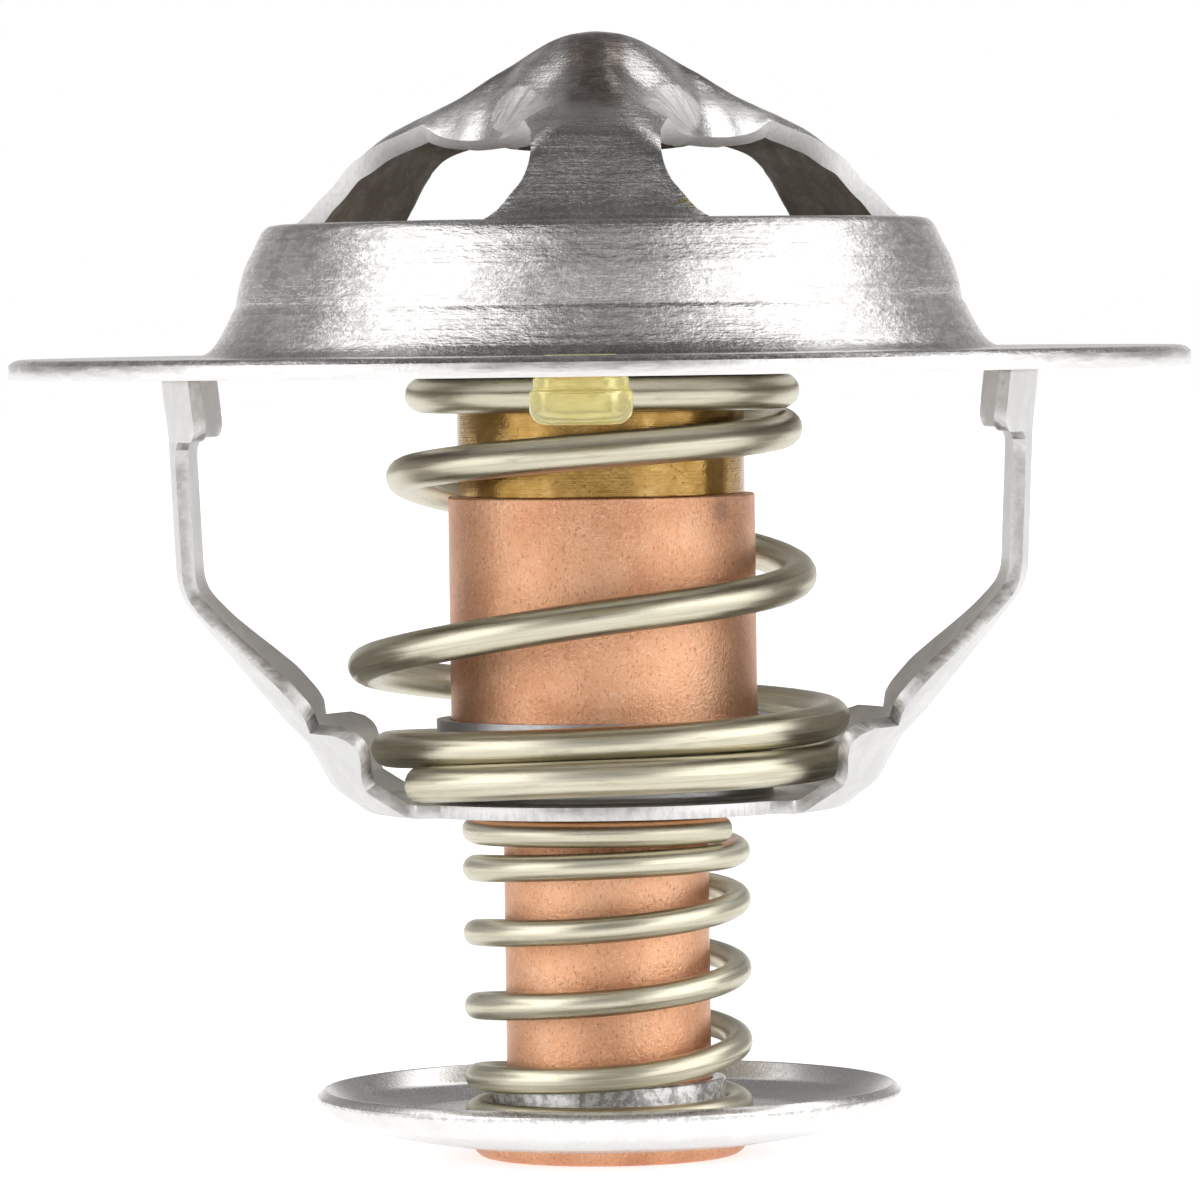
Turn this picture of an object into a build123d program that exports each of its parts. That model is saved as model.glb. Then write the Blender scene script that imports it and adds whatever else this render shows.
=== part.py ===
from build123d import *
import math
import os

os.makedirs("parts", exist_ok=True)

# Engine thermostat with a wax element and a bypass disc. Millimetres.
# The origin is on the axis, in the plane of the flange's upper face. +Z points to the bridge's
# apex and -Z to the bypass disc. One bridge leg stands on the -Y side, and the yoke's two legs
# are on the X axis. Heights are measured up from the flange's upper face, depths down from it.

# Flange and seat cup, drawn from one sheet with the bridge
FLANGE_R = 27.0
FLANGE_SHEET = 0.9
CUP_FOOT_R = 17.75          # outside of the cup where it meets the flange
SEAT_TAPER = 1.25           # how far the cup draws in from the flange to its step
CUP_STEP_HEIGHT = 2.3
CUP_STEP_BEND = 0.4
WALL_TAPER = 1.05           # how far it draws in from the step to its upper shoulder
CUP_TOP_WIDTH = 1.25        # ring between the shoulder and the windows
CUP_HEIGHT = 6.0
CUP_FOOT_BEND = 0.9
CUP_SHOULDER_BEND = 1.0

# Three-legged bridge: each leg is a sloping ridge with a web on each side, then a flat strap
LEG_COUNT = 3
FRONT_LEG_ANGLE = 270.0
APEX_HEIGHT = 14.65
APEX_ROUND = 3.9            # rounding of the apex along the ridges
APEX_OVERLAP = 1.0          # how far each ridge runs on past the axis
KNEE_R = 10.46              # where each leg turns down
KNEE_HEIGHT = 10.1
KNEE_ROUND = 1.5
FOOT_INSET = 0.75           # from the windows' outer edge in to where a leg meets the cup's top
FOOT_PAD_WIDTH = 1.2        # cup's top under each foot, inside the windows' outer edge
WEB_SLOPE = 1.3             # fall of the webs across a leg
RIDGE_ROUND = 3.3           # rounding between the two webs of a ridge
BRIDGE_THINNING = 0.04      # sheet lost in drawing the bridge
VALLEY_R = 5.5              # inner edge of the windows, midway between two legs
VALLEY_HEIGHT = 9.9
WEB_CORNER_R = 8.6          # where a window's edge leaves the web and follows the leg
WEB_CORNER_HEIGHT = 10.26
LEG_HALF_WIDTH = 2.9
FLARE_START_R = 11.3        # where the leg starts to widen towards its foot
FLARE_HALF_WIDTH = 5.0      # half width of the leg at the windows' outer edge
FLARE_BELLY_INSET = 1.7
FLARE_BELLY_HALF_WIDTH = 3.75

# Lower yoke, one stamping: heads, legs, spring pan and guide collar
YOKE_SHEET = 0.6
HEAD_R = 20.05
HEAD_HALF_WIDTH = 7.8
HEAD_DEPTH = 3.8            # depth of the heads' lower edges
HEAD_CORNER = 0.9
LEG_TOP_R = 19.75
LEG_BEND_R = 19.45
LEG_BEND_DEPTH = 10.8
STRAP_HALF_WIDTH = 4.2      # half width of the upright legs
CONE_HALF_WIDTH = 6.5       # half width of the sloping legs where they are widest
CONE_WIDE_DEPTH = 15.2
CONE_END_R = 14.75
CONE_END_DEPTH = 16.5
STRAP_END_HALF_WIDTH = 5.0  # half width of the legs where they join the pan's rim
PAN_RIM_DEPTH = 17.05       # depth of the pan wall's free upper edge beside the legs
PAN_RIM_R = 13.6
PAN_RIM_BEND_DEPTH = 17.7
PAN_WALL_R = 12.5
PAN_WALL_DEPTH = 19.7
PAN_FLOOR_R = 10.9
PAN_DEPTH = 20.9
PAN_WING_HALF_WIDTH = 8.0
PAN_FLOOR_HALF_WIDTH = 6.4
PAN_DISC_R = 9.8
COLLAR_TOP_DEPTH = 16.7
COLLAR_BEND = 0.9
PAN_BEND = 1.0
RIM_BEND = 0.9
LEG_BEND = 3.0
HEAD_BEND = 2.0

# Springs
STEPS_PER_TURN = 8

# Main spring: centre-line radius and share of the height at each quarter turn, clockwise from +X at the top
MAIN_WIRE = 1.65
MAIN_COIL_RADII = (8.3, 8.3, 8.1, 8.2, 8.42, 8.7, 9.04, 9.1, 9.0, 9.7, 10.9, 10.8, 10.43, 9.65, 9.9, 10.2,
                   10.3, 10.6, 10.25)
MAIN_COIL_DROPS = (0.0, 0.0, 0.001, 0.0315, 0.097, 0.143, 0.214, 0.35, 0.478, 0.566, 0.704, 0.81, 0.852,
                   0.889, 0.92, 0.946, 0.957, 0.971, 1.016)
MAIN_COIL_START = 0.0       # clockwise angle of the upper wire end, from +X
MAIN_END_TURN = 4.4

# Wax element
ELEMENT_R = 7.02
ELEMENT_TOP_DEPTH = 6.5
ELEMENT_SHOULDER_DEPTH = 21.1
ELEMENT_FLOOR = 0.8
ELEMENT_CORNER = 1.1
MOUTH_WALL = 0.45
CHAMBER_WALL = 0.8
STEM_R = 4.69
STEM_WALL = 0.75
HEAD_DISC_R = 6.3
HEAD_DISC_TOP_DEPTH = 35.6
HEAD_DISC_THICKNESS = 1.0
HEAD_DISC_CORNER = 0.35

# Brass guide, in the mouth of the element
GUIDE_BOTTOM_DEPTH = 8.5
GUIDE_NECK_R = 5.6
CLINCH_R = 6.1
CLINCH_HEIGHT = 0.5
NOSE_R = 4.2
NOSE_HEIGHT = 4.2
NOSE_CHAMFER = 0.7
SEAL_POCKET_R = 3.1
SEAL_POCKET_DEPTH = 1.6
PISTON_SEAL_HEIGHT = 1.3

# Piston, boot and wax
PIN_R = 1.9
PIN_TIP_R = 0.7
PIN_TIP_LENGTH = 2.6
PIN_BOTTOM_DEPTH = 17.9
PIN_CHAMFER = 0.35
BOOT_FLANGE = 0.8
BOOT_WALL = 1.45
BOOT_FLOOR = 1.2

# Main valve
PLATE_SHEET = 0.8
PLATE_DEPTH = 1.0           # underside of the plate, where the main spring bears
PLATE_FLAT_R = 10.8
PLATE_RIM_FOOT_R = 12.6
PLATE_RISE = 1.6
SEAL_OUTER_WIDTH = 0.9      # rubber beyond the plate's edge, up to the seat cone
SEAL_GRIP = 1.2             # rubber inside the plate's edge
SEAL_LIP = 0.3              # rubber above and below the plate's edge

# Bypass valve
BYPASS_WIRE = 1.23
BYPASS_COIL_DROPS = (0.0, 0.0, 0.005, 0.045, 0.092, 0.112, 0.144, 0.203, 0.2665, 0.338, 0.377, 0.437, 0.517,
                     0.599, 0.641, 0.694, 0.778, 0.868, 0.892, 0.939, 0.987, 1.0, 1.0)
BYPASS_COIL_START = 28.0    # clockwise angle of the upper wire end, from +X
BYPASS_END_TURN = 5.48
DISC_SHEET = 0.6
DISC_R = 13.3
DISC_RIM_RISE = 2.0         # heights above the disc's underside
DISC_WALL_R = 12.35
DISC_WALL_RISE = 1.0
DISC_CONE_R = 8.2
DISC_KNUCKLE_R = 10.5
DISC_KNUCKLE_RISE = 0.4
DISC_COLLAR_RISE = 2.7
HUB_BEND = 0.9
KNUCKLE_BEND = 1.4

# Vent plug, pressed into a hole in the flange below the front leg
PLUG_INSET = 4.6            # from the flange's rim in to the plug's axis
PLUG_TURN = -1.9            # angle of the plug round the flange, from the front leg
PLUG_WAIST_R = 1.6
PLUG_COLLAR_R = 2.08
PLUG_COLLAR_HEIGHT = 0.6
PLUG_HEAD_R = 2.24
PLUG_HEAD_HEIGHT = 1.5
PLUG_HEAD_DOME = 0.7

# Clearances
RUNNING = 0.05              # radial, piston in guide
SLIDING = 0.07              # radial, collars on the element
SNUG = 0.02                 # between pieces that are held together
SEAT_GAP = 0.1              # between the seal and the seat cone
TIP_GAP = 0.05              # between the piston's tip and the apex
SMALLEST_BEND = 0.1

LEG_PITCH = 360.0 / LEG_COUNT
CUP_STEP_R = CUP_FOOT_R - SEAT_TAPER
CUP_SHOULDER_R = CUP_STEP_R - WALL_TAPER
WINDOW_R = CUP_SHOULDER_R - CUP_TOP_WIDTH
FOOT_R = WINDOW_R - FOOT_INSET
PLUG_AXIS_R = FLANGE_R - PLUG_INSET


def vertical(radius, z):
    """A point in the section plane, from its radius and height."""
    return (radius, 0, z)


def parallel_points(points, distance):
    """Corners of the line that runs beside an open line, on its left."""
    normals = []
    for (r0, z0), (r1, z1) in zip(points, points[1:]):
        length = math.hypot(r1 - r0, z1 - z0)
        normals.append(((z0 - z1) / length, (r1 - r0) / length))
    beside = []
    for index, (r, z) in enumerate(points):
        before = normals[max(index - 1, 0)]
        after = normals[min(index, len(normals) - 1)]
        scale = distance / (1 + before[0] * after[0] + before[1] * after[1])
        beside.append((r + scale * (before[0] + after[0]), z + scale * (before[1] + after[1])))
    return beside


def parallel_bends(points, bends, distance):
    """Bend radii of the line beside an open line: smaller in left turns, larger in right turns."""
    beside = []
    for index, bend in enumerate(bends):
        (r0, z0), (r1, z1), (r2, z2) = points[index:index + 3]
        left = (r1 - r0) * (z2 - z1) - (z1 - z0) * (r2 - r1) > 0
        beside.append(max(bend - distance, SMALLEST_BEND) if left else bend + distance)
    return beside


def formed_sheet(points, bends, thickness):
    """Round sheet-metal piece, turned from its section: a bent line and the line on its left."""
    other = parallel_points(points, thickness)
    other_bends = parallel_bends(points, bends, thickness)
    first = FilletPolyline([vertical(r, z) for r, z in points], radius=bends)
    second = FilletPolyline([vertical(r, z) for r, z in other], radius=other_bends)
    ends = [Line(first @ 0, second @ 0), Line(first @ 1, second @ 1)]
    section = make_face(first.edges() + second.edges() + ShapeList(ends))
    return revolve(section, Axis.Z)


def turned(points):
    """Solid turned from a section with straight sides."""
    return revolve(make_face(Polyline([vertical(r, z) for r, z in points], close=True)), Axis.Z)


def round_edges(part, radius_at, height_at, size):
    """Rounds the circular edges of a turned piece that lie at one radius and height."""
    chosen = [
        edge for edge in part.edges().filter_by(GeomType.CIRCLE)
        if abs(edge.radius - radius_at) < size / 10 and abs(edge.center().Z - height_at) < size / 10
    ]
    return fillet(chosen, size)


# ---------------------------------------------------------------- flange, cup and bridge

def cup_line():
    """Outer face of the flange and cup, from the flange's rim up to the windows."""
    return [
        (FLANGE_R, 0),
        (CUP_FOOT_R, 0),
        (CUP_STEP_R, CUP_STEP_HEIGHT),
        (CUP_SHOULDER_R, CUP_HEIGHT),
        (WINDOW_R, CUP_HEIGHT),
    ]


def seat_wall_r(height):
    """Inner radius of the seat cone at a height between the flange and the step."""
    foot, step = parallel_points(cup_line(), FLANGE_SHEET)[1:3]
    share = (height - foot[1]) / (step[1] - foot[1])
    return foot[0] + share * (step[0] - foot[0])


def on_circle(radius, angle):
    """A point in plan, from its radius and its angle in degrees."""
    return (radius * math.cos(math.radians(angle)), radius * math.sin(math.radians(angle)))


def ridge_peak():
    """Height on the axis where the two straight sides of a ridge would meet."""
    slope = (APEX_HEIGHT - KNEE_HEIGHT) / KNEE_R
    for _ in range(4):
        peak = APEX_HEIGHT + APEX_ROUND * (math.hypot(1, slope) - 1)
        slope = (peak - KNEE_HEIGHT) / KNEE_R
    return peak


def leg_side_view(inset):
    """Section of one leg's solid along its centre line, down to the flange."""
    slope = (ridge_peak() - KNEE_HEIGHT) / KNEE_R
    leg_slope = (KNEE_HEIGHT - CUP_HEIGHT) / (FOOT_R - KNEE_R)
    line = [
        (FOOT_R + CUP_HEIGHT / leg_slope, 0),
        (KNEE_R, KNEE_HEIGHT),
        (0, ridge_peak()),
        (-APEX_ROUND, ridge_peak() - slope * APEX_ROUND),
    ]
    corners = [vertical(r, z) for r, z in parallel_points(line, inset)]
    upper = FilletPolyline(corners, radius=[KNEE_ROUND - inset / 2, APEX_ROUND - inset])
    base = [vertical(corners[end][0], -CUP_HEIGHT) for end in (-1, 0)]
    under = Polyline(corners[-1], *base, corners[0])
    block = extrude(make_face(upper.edges() + under.edges()), amount=WINDOW_R, both=True)
    beyond_axis = Pos(-APEX_OVERLAP, 0, 0) * Box(
        2 * WINDOW_R, 2 * WINDOW_R, 2 * APEX_HEIGHT, align=(Align.MAX, Align.CENTER, Align.CENTER))
    return block - beyond_axis


def web_roof(inset):
    """Roof with rounded ridge whose two flat sides are the webs of one leg."""
    valley = on_circle(VALLEY_R, LEG_PITCH / 2)
    run = WEB_CORNER_R - valley[0]
    fall = (VALLEY_HEIGHT - WEB_CORNER_HEIGHT + WEB_SLOPE * (valley[1] - LEG_HALF_WIDTH)) / run
    crest = VALLEY_HEIGHT + fall * valley[0] + WEB_SLOPE * valley[1]
    along = Vector(1, 0, -fall).normalized()
    side = WEB_SLOPE / math.hypot(1, fall)
    lowered = inset * math.hypot(1, side)
    reach = 2 * WINDOW_R
    frame = Plane(origin=Vector(0, 0, crest) - along * WINDOW_R, x_dir=(0, 1, 0), z_dir=along)
    upward = 1 if frame.y_dir.Z > 0 else -1
    corners = [(-reach, -upward * (side * reach + lowered)), (0, -upward * lowered),
               (reach, -upward * (side * reach + lowered))]
    sides = FilletPolyline(corners, radius=RIDGE_ROUND - inset)
    section = make_face(sides.edges() + Line(corners[-1], corners[0]).edges())
    return extrude(frame * section, amount=3 * WINDOW_R, dir=along)


def bridge_block(inset):
    """Solid under the bridge, with its outer face moved in by the inset."""
    leg = leg_side_view(inset) & web_roof(inset)
    block = Rot(0, 0, FRONT_LEG_ANGLE) * leg
    for index in range(1, LEG_COUNT):
        block += Rot(0, 0, FRONT_LEG_ANGLE + index * LEG_PITCH) * leg
    return block


def window_outline(angle):
    """Plan outline of one window, midway between two legs."""
    middle = LEG_PITCH / 2
    corner = (WEB_CORNER_R, LEG_HALF_WIDTH)
    neck = (FLARE_START_R, LEG_HALF_WIDTH)
    belly = (WINDOW_R - FLARE_BELLY_INSET, FLARE_BELLY_HALF_WIDTH)
    foot_angle = math.degrees(math.asin(FLARE_HALF_WIDTH / WINDOW_R))
    foot = on_circle(WINDOW_R, foot_angle)
    valley = on_circle(VALLEY_R, middle)
    half = ShapeList([
        Line(valley, corner),
        Line(corner, neck),
        ThreePointArc(neck, belly, foot),
        ThreePointArc(foot, on_circle(WINDOW_R, (foot_angle + middle) / 2), on_circle(WINDOW_R, middle)),
    ])
    mirror_plane = Plane(origin=(0, 0, 0), x_dir=(*valley, 0), z_dir=(-valley[1], valley[0], 0))
    outline = half + ShapeList([edge.mirror(mirror_plane) for edge in half])
    return Rot(0, 0, angle - middle) * make_face(outline)


def make_flange_bridge():
    bends = [CUP_FOOT_BEND, CUP_STEP_BEND, CUP_SHOULDER_BEND]
    cup = formed_sheet(cup_line(), bends, FLANGE_SHEET)
    plan = Circle((WINDOW_R + CUP_SHOULDER_R - CUP_SHOULDER_BEND) / 2)
    for leg in range(LEG_COUNT):
        plan -= window_outline(FRONT_LEG_ANGLE + (leg + 0.5) * LEG_PITCH)
    cup_top = Pos(0, 0, CUP_HEIGHT - FLANGE_SHEET) * plan
    inside_pads = Pos(0, 0, CUP_HEIGHT - FLANGE_SHEET) * Circle(WINDOW_R - FOOT_PAD_WIDTH)
    pads = extrude(cup_top - inside_pads, amount=FLANGE_SHEET)
    shell = bridge_block(0) - bridge_block(FLANGE_SHEET - BRIDGE_THINNING)
    bridge = extrude(cup_top, amount=APEX_HEIGHT) & shell
    hole = Rot(0, 0, PLUG_TURN) * Pos(0, -PLUG_AXIS_R, -FLANGE_SHEET) * Cylinder(
        PLUG_WAIST_R + SNUG, 3 * FLANGE_SHEET, align=(Align.CENTER, Align.CENTER, Align.CENTER))
    return cup + pads + bridge - hole


# ---------------------------------------------------------------- lower yoke

def make_lower_yoke():
    line = [
        (ELEMENT_R + SLIDING, -COLLAR_TOP_DEPTH),
        (ELEMENT_R + SLIDING, -PAN_DEPTH),
        (PAN_FLOOR_R, -PAN_DEPTH),
        (PAN_WALL_R, -PAN_WALL_DEPTH),
        (PAN_RIM_R, -PAN_RIM_BEND_DEPTH),
        (CONE_END_R, -CONE_END_DEPTH),
        (LEG_BEND_R, -LEG_BEND_DEPTH),
        (LEG_TOP_R, -HEAD_DEPTH),
        (HEAD_R, -FLANGE_SHEET),
    ]
    bends = [COLLAR_BEND, PAN_BEND, PAN_BEND, RIM_BEND, RIM_BEND, LEG_BEND, HEAD_BEND]
    shell = formed_sheet(line, bends, YOKE_SHEET)
    upper = [
        (-FLANGE_SHEET, HEAD_HALF_WIDTH),
        (-HEAD_DEPTH, HEAD_HALF_WIDTH),
        (-HEAD_DEPTH, STRAP_HALF_WIDTH),
        (-LEG_BEND_DEPTH, STRAP_HALF_WIDTH),
        (-CONE_WIDE_DEPTH, CONE_HALF_WIDTH),
        (-CONE_END_DEPTH, STRAP_END_HALF_WIDTH),
        (-PAN_RIM_DEPTH, STRAP_END_HALF_WIDTH),
        (-PAN_RIM_DEPTH, PAN_WING_HALF_WIDTH),
        (-PAN_WALL_DEPTH, PAN_FLOOR_HALF_WIDTH),
        (-PAN_DEPTH, PAN_FLOOR_HALF_WIDTH),
    ]
    bends = [HEAD_CORNER, HEAD_CORNER, HEAD_R / 4, HEAD_CORNER, YOKE_SHEET / 2, YOKE_SHEET / 2,
             HEAD_CORNER, YOKE_SHEET / 2]
    near = FilletPolyline([(0, -y, z) for z, y in upper], radius=bends)
    far = FilletPolyline([(0, y, z) for z, y in upper], radius=bends)
    ends = ShapeList([Line(near @ 0, far @ 0), Line(near @ 1, far @ 1)])
    outline = make_face(near.edges() + far.edges() + ends)
    strip = extrude(outline, amount=HEAD_R + YOKE_SHEET, dir=(1, 0, 0), both=True)
    pan_disc = Pos(0, 0, -PAN_DEPTH) * Cylinder(
        PAN_DISC_R, PAN_DEPTH - COLLAR_TOP_DEPTH, align=(Align.CENTER, Align.CENTER, Align.MIN))
    return shell & (strip + pan_disc)


# ---------------------------------------------------------------- springs

def between(values, turn):
    """Value at a number of turns, read smoothly from a list with one value each quarter turn."""
    place = min(max(4 * turn, 0), len(values) - 1)
    index = min(int(place), len(values) - 2)
    share = place - index
    known = [values[min(max(index + step, 0), len(values) - 1)] for step in (-1, 0, 1, 2)]
    rise_before = (known[2] - known[0]) / 2
    rise_after = (known[3] - known[1]) / 2
    square, cube = share ** 2, share ** 3
    value = (known[1] * (2 * cube - 3 * square + 1) + rise_before * (cube - 2 * square + share)
             + known[2] * (3 * square - 2 * cube) + rise_after * (cube - square))
    return min(max(value, min(known[1:3])), max(known[1:3]))


def make_spring(wire, radii, drops, start, turns, top, bottom):
    """Right-handed spring of round wire that lies between two levels, wound from the top."""
    count = math.ceil(turns * STEPS_PER_TURN)
    upper_coil = top - wire / 2 - SNUG
    lower_coil = bottom + wire / 2 + SNUG
    points = []
    for step in range(count + 1):
        turn = start / 360 + turns * step / count
        angle = math.radians(-360 * turn)
        height = upper_coil - between(drops, turn) * (upper_coil - lower_coil)
        radius = between(radii, turn)
        points.append(Vector(radius * math.cos(angle), radius * math.sin(angle), height))
    path = Spline(points)
    section = Plane(origin=path @ 0, z_dir=path % 0) * Circle(wire / 2)
    return sweep(section, path=path, is_frenet=True)


def make_main_spring():
    return make_spring(MAIN_WIRE, MAIN_COIL_RADII, MAIN_COIL_DROPS, MAIN_COIL_START,
                       MAIN_END_TURN, -PLATE_DEPTH, YOKE_SHEET - PAN_DEPTH)


def make_bypass_spring():
    coil_r = STEM_R + SLIDING + DISC_SHEET + SNUG + BYPASS_WIRE / 2
    return make_spring(BYPASS_WIRE, (coil_r, coil_r), BYPASS_COIL_DROPS, BYPASS_COIL_START,
                       BYPASS_END_TURN, -ELEMENT_SHOULDER_DEPTH, DISC_SHEET - HEAD_DISC_TOP_DEPTH)


# ---------------------------------------------------------------- wax element

def make_element_cup():
    mouth_r = ELEMENT_R - MOUTH_WALL
    chamber_r = ELEMENT_R - CHAMBER_WALL
    head_bottom = -HEAD_DISC_TOP_DEPTH - HEAD_DISC_THICKNESS
    cup = turned([
        (0, head_bottom),
        (HEAD_DISC_R, head_bottom),
        (HEAD_DISC_R, -HEAD_DISC_TOP_DEPTH),
        (STEM_R, -HEAD_DISC_TOP_DEPTH),
        (STEM_R, -ELEMENT_SHOULDER_DEPTH),
        (ELEMENT_R, -ELEMENT_SHOULDER_DEPTH),
        (ELEMENT_R, -ELEMENT_TOP_DEPTH),
        (mouth_r, -ELEMENT_TOP_DEPTH),
        (mouth_r, -GUIDE_BOTTOM_DEPTH - BOOT_FLANGE),
        (chamber_r, -GUIDE_BOTTOM_DEPTH - BOOT_FLANGE),
        (chamber_r, ELEMENT_FLOOR - ELEMENT_SHOULDER_DEPTH),
        (STEM_R - STEM_WALL, ELEMENT_FLOOR - ELEMENT_SHOULDER_DEPTH),
        (STEM_R - STEM_WALL, -HEAD_DISC_TOP_DEPTH),
        (0, -HEAD_DISC_TOP_DEPTH),
    ])
    cup = round_edges(cup, ELEMENT_R, -ELEMENT_SHOULDER_DEPTH, ELEMENT_CORNER)
    return round_edges(cup, HEAD_DISC_R, head_bottom, HEAD_DISC_CORNER)


def make_guide_body():
    barrel_r = ELEMENT_R - MOUTH_WALL
    bore_r = PIN_R + RUNNING
    plate_top = PLATE_SHEET - PLATE_DEPTH
    return turned([
        (bore_r, -GUIDE_BOTTOM_DEPTH),
        (barrel_r, -GUIDE_BOTTOM_DEPTH),
        (barrel_r, -PLATE_DEPTH),
        (GUIDE_NECK_R, -PLATE_DEPTH),
        (GUIDE_NECK_R, plate_top + SNUG),
        (CLINCH_R, plate_top + SNUG),
        (CLINCH_R, plate_top + CLINCH_HEIGHT),
        (NOSE_R, plate_top + CLINCH_HEIGHT + (CLINCH_R - NOSE_R) / 2),
        (NOSE_R, NOSE_HEIGHT - NOSE_CHAMFER),
        (NOSE_R - NOSE_CHAMFER, NOSE_HEIGHT),
        (SEAL_POCKET_R, NOSE_HEIGHT),
        (SEAL_POCKET_R, NOSE_HEIGHT - SEAL_POCKET_DEPTH),
        (bore_r, NOSE_HEIGHT - SEAL_POCKET_DEPTH),
    ])


def make_piston_seal():
    bottom = NOSE_HEIGHT - SEAL_POCKET_DEPTH
    return turned([
        (PIN_R + RUNNING, bottom),
        (SEAL_POCKET_R, bottom),
        (SEAL_POCKET_R, bottom + PISTON_SEAL_HEIGHT),
        (PIN_R + RUNNING, bottom + PISTON_SEAL_HEIGHT),
    ])


def make_piston_pin():
    tip = APEX_HEIGHT - FLANGE_SHEET + BRIDGE_THINNING - TIP_GAP
    return turned([
        (0, -PIN_BOTTOM_DEPTH),
        (PIN_R - PIN_CHAMFER, -PIN_BOTTOM_DEPTH),
        (PIN_R, -PIN_BOTTOM_DEPTH + PIN_CHAMFER),
        (PIN_R, tip - PIN_TIP_LENGTH),
        (PIN_TIP_R, tip),
        (0, tip),
    ])


def boot_bottom():
    return -PIN_BOTTOM_DEPTH - TIP_GAP - BOOT_FLOOR


def make_rubber_boot():
    flange_r = ELEMENT_R - MOUTH_WALL
    bore_r = PIN_R + RUNNING
    sleeve_r = bore_r + BOOT_WALL
    boot = turned([
        (bore_r, -GUIDE_BOTTOM_DEPTH),
        (flange_r, -GUIDE_BOTTOM_DEPTH),
        (flange_r, -GUIDE_BOTTOM_DEPTH - BOOT_FLANGE),
        (sleeve_r, -GUIDE_BOTTOM_DEPTH - BOOT_FLANGE),
        (sleeve_r, boot_bottom()),
        (0, boot_bottom()),
        (0, -PIN_BOTTOM_DEPTH - TIP_GAP),
        (bore_r, -PIN_BOTTOM_DEPTH - TIP_GAP),
    ])
    return round_edges(boot, sleeve_r, boot_bottom(), BOOT_WALL)


def make_wax_charge(boot):
    chamber_r = ELEMENT_R - CHAMBER_WALL
    chamber_top = -GUIDE_BOTTOM_DEPTH - BOOT_FLANGE
    chamber_floor = ELEMENT_FLOOR - ELEMENT_SHOULDER_DEPTH
    filled = turned([
        (0, chamber_top),
        (chamber_r, chamber_top),
        (chamber_r, chamber_floor),
        (STEM_R - STEM_WALL, chamber_floor),
        (STEM_R - STEM_WALL, -HEAD_DISC_TOP_DEPTH),
        (0, -HEAD_DISC_TOP_DEPTH),
    ])
    pin_space = Pos(0, 0, chamber_top) * Cylinder(
        PIN_R + RUNNING, chamber_top + PIN_BOTTOM_DEPTH + TIP_GAP,
        align=(Align.CENTER, Align.CENTER, Align.MAX))
    return filled - boot - pin_space


# ---------------------------------------------------------------- main valve

def plate_rim_r():
    return seat_wall_r(PLATE_RISE - PLATE_DEPTH + PLATE_SHEET / 2) - SEAT_GAP - SEAL_OUTER_WIDTH


def make_valve_plate():
    line = [
        (GUIDE_NECK_R, -PLATE_DEPTH),
        (PLATE_FLAT_R, -PLATE_DEPTH),
        (PLATE_RIM_FOOT_R, PLATE_RISE - PLATE_DEPTH),
        (plate_rim_r(), PLATE_RISE - PLATE_DEPTH),
    ]
    return formed_sheet(line, [PLATE_SHEET, 2 * PLATE_SHEET], PLATE_SHEET)


def make_valve_seal(plate):
    bottom = PLATE_RISE - PLATE_DEPTH - SEAL_LIP
    top = PLATE_RISE - PLATE_DEPTH + PLATE_SHEET + SEAL_LIP
    inner_r = plate_rim_r() - SEAL_GRIP
    ring = turned([
        (inner_r, bottom),
        (seat_wall_r(bottom) - SEAT_GAP, bottom),
        (seat_wall_r(top) - SEAT_GAP, top),
        (inner_r, top),
    ])
    return ring - plate


# ---------------------------------------------------------------- bypass valve

def make_bypass_disc():
    line = [
        (STEM_R + SLIDING, DISC_COLLAR_RISE - HEAD_DISC_TOP_DEPTH),
        (STEM_R + SLIDING, -HEAD_DISC_TOP_DEPTH),
        (DISC_CONE_R, -HEAD_DISC_TOP_DEPTH),
        (DISC_KNUCKLE_R, DISC_KNUCKLE_RISE - HEAD_DISC_TOP_DEPTH),
        (DISC_WALL_R, DISC_WALL_RISE - HEAD_DISC_TOP_DEPTH),
        (DISC_R, DISC_RIM_RISE - HEAD_DISC_TOP_DEPTH),
    ]
    bends = [HUB_BEND, KNUCKLE_BEND, KNUCKLE_BEND, KNUCKLE_BEND]
    return formed_sheet(line, bends, DISC_SHEET)


# ---------------------------------------------------------------- vent plug

def make_vent_plug():
    head_top = -FLANGE_SHEET - PLUG_COLLAR_HEIGHT
    head_bottom = head_top - PLUG_HEAD_HEIGHT
    plug = turned([
        (0, head_bottom),
        (PLUG_HEAD_R, head_bottom),
        (PLUG_HEAD_R, head_top),
        (PLUG_COLLAR_R, head_top),
        (PLUG_COLLAR_R, -FLANGE_SHEET),
        (PLUG_WAIST_R, -FLANGE_SHEET),
        (PLUG_WAIST_R, -SNUG),
        (0, -SNUG),
    ])
    plug = round_edges(plug, PLUG_HEAD_R, head_bottom, PLUG_HEAD_DOME)
    return Rot(0, 0, PLUG_TURN) * Pos(0, -PLUG_AXIS_R, 0) * plug


rubber_boot = make_rubber_boot()
valve_plate = make_valve_plate()
PIECES = {
    "flange_bridge": make_flange_bridge(),
    "lower_yoke": make_lower_yoke(),
    "main_spring": make_main_spring(),
    "valve_plate": valve_plate,
    "valve_seal": make_valve_seal(valve_plate),
    "guide_body": make_guide_body(),
    "piston_seal": make_piston_seal(),
    "piston_pin": make_piston_pin(),
    "rubber_boot": rubber_boot,
    "wax_charge": make_wax_charge(rubber_boot),
    "element_cup": make_element_cup(),
    "bypass_spring": make_bypass_spring(),
    "bypass_disc": make_bypass_disc(),
    "vent_plug": make_vent_plug(),
}
for name, piece in PIECES.items():
    export_step(piece, f"parts/{name}.step")
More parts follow.
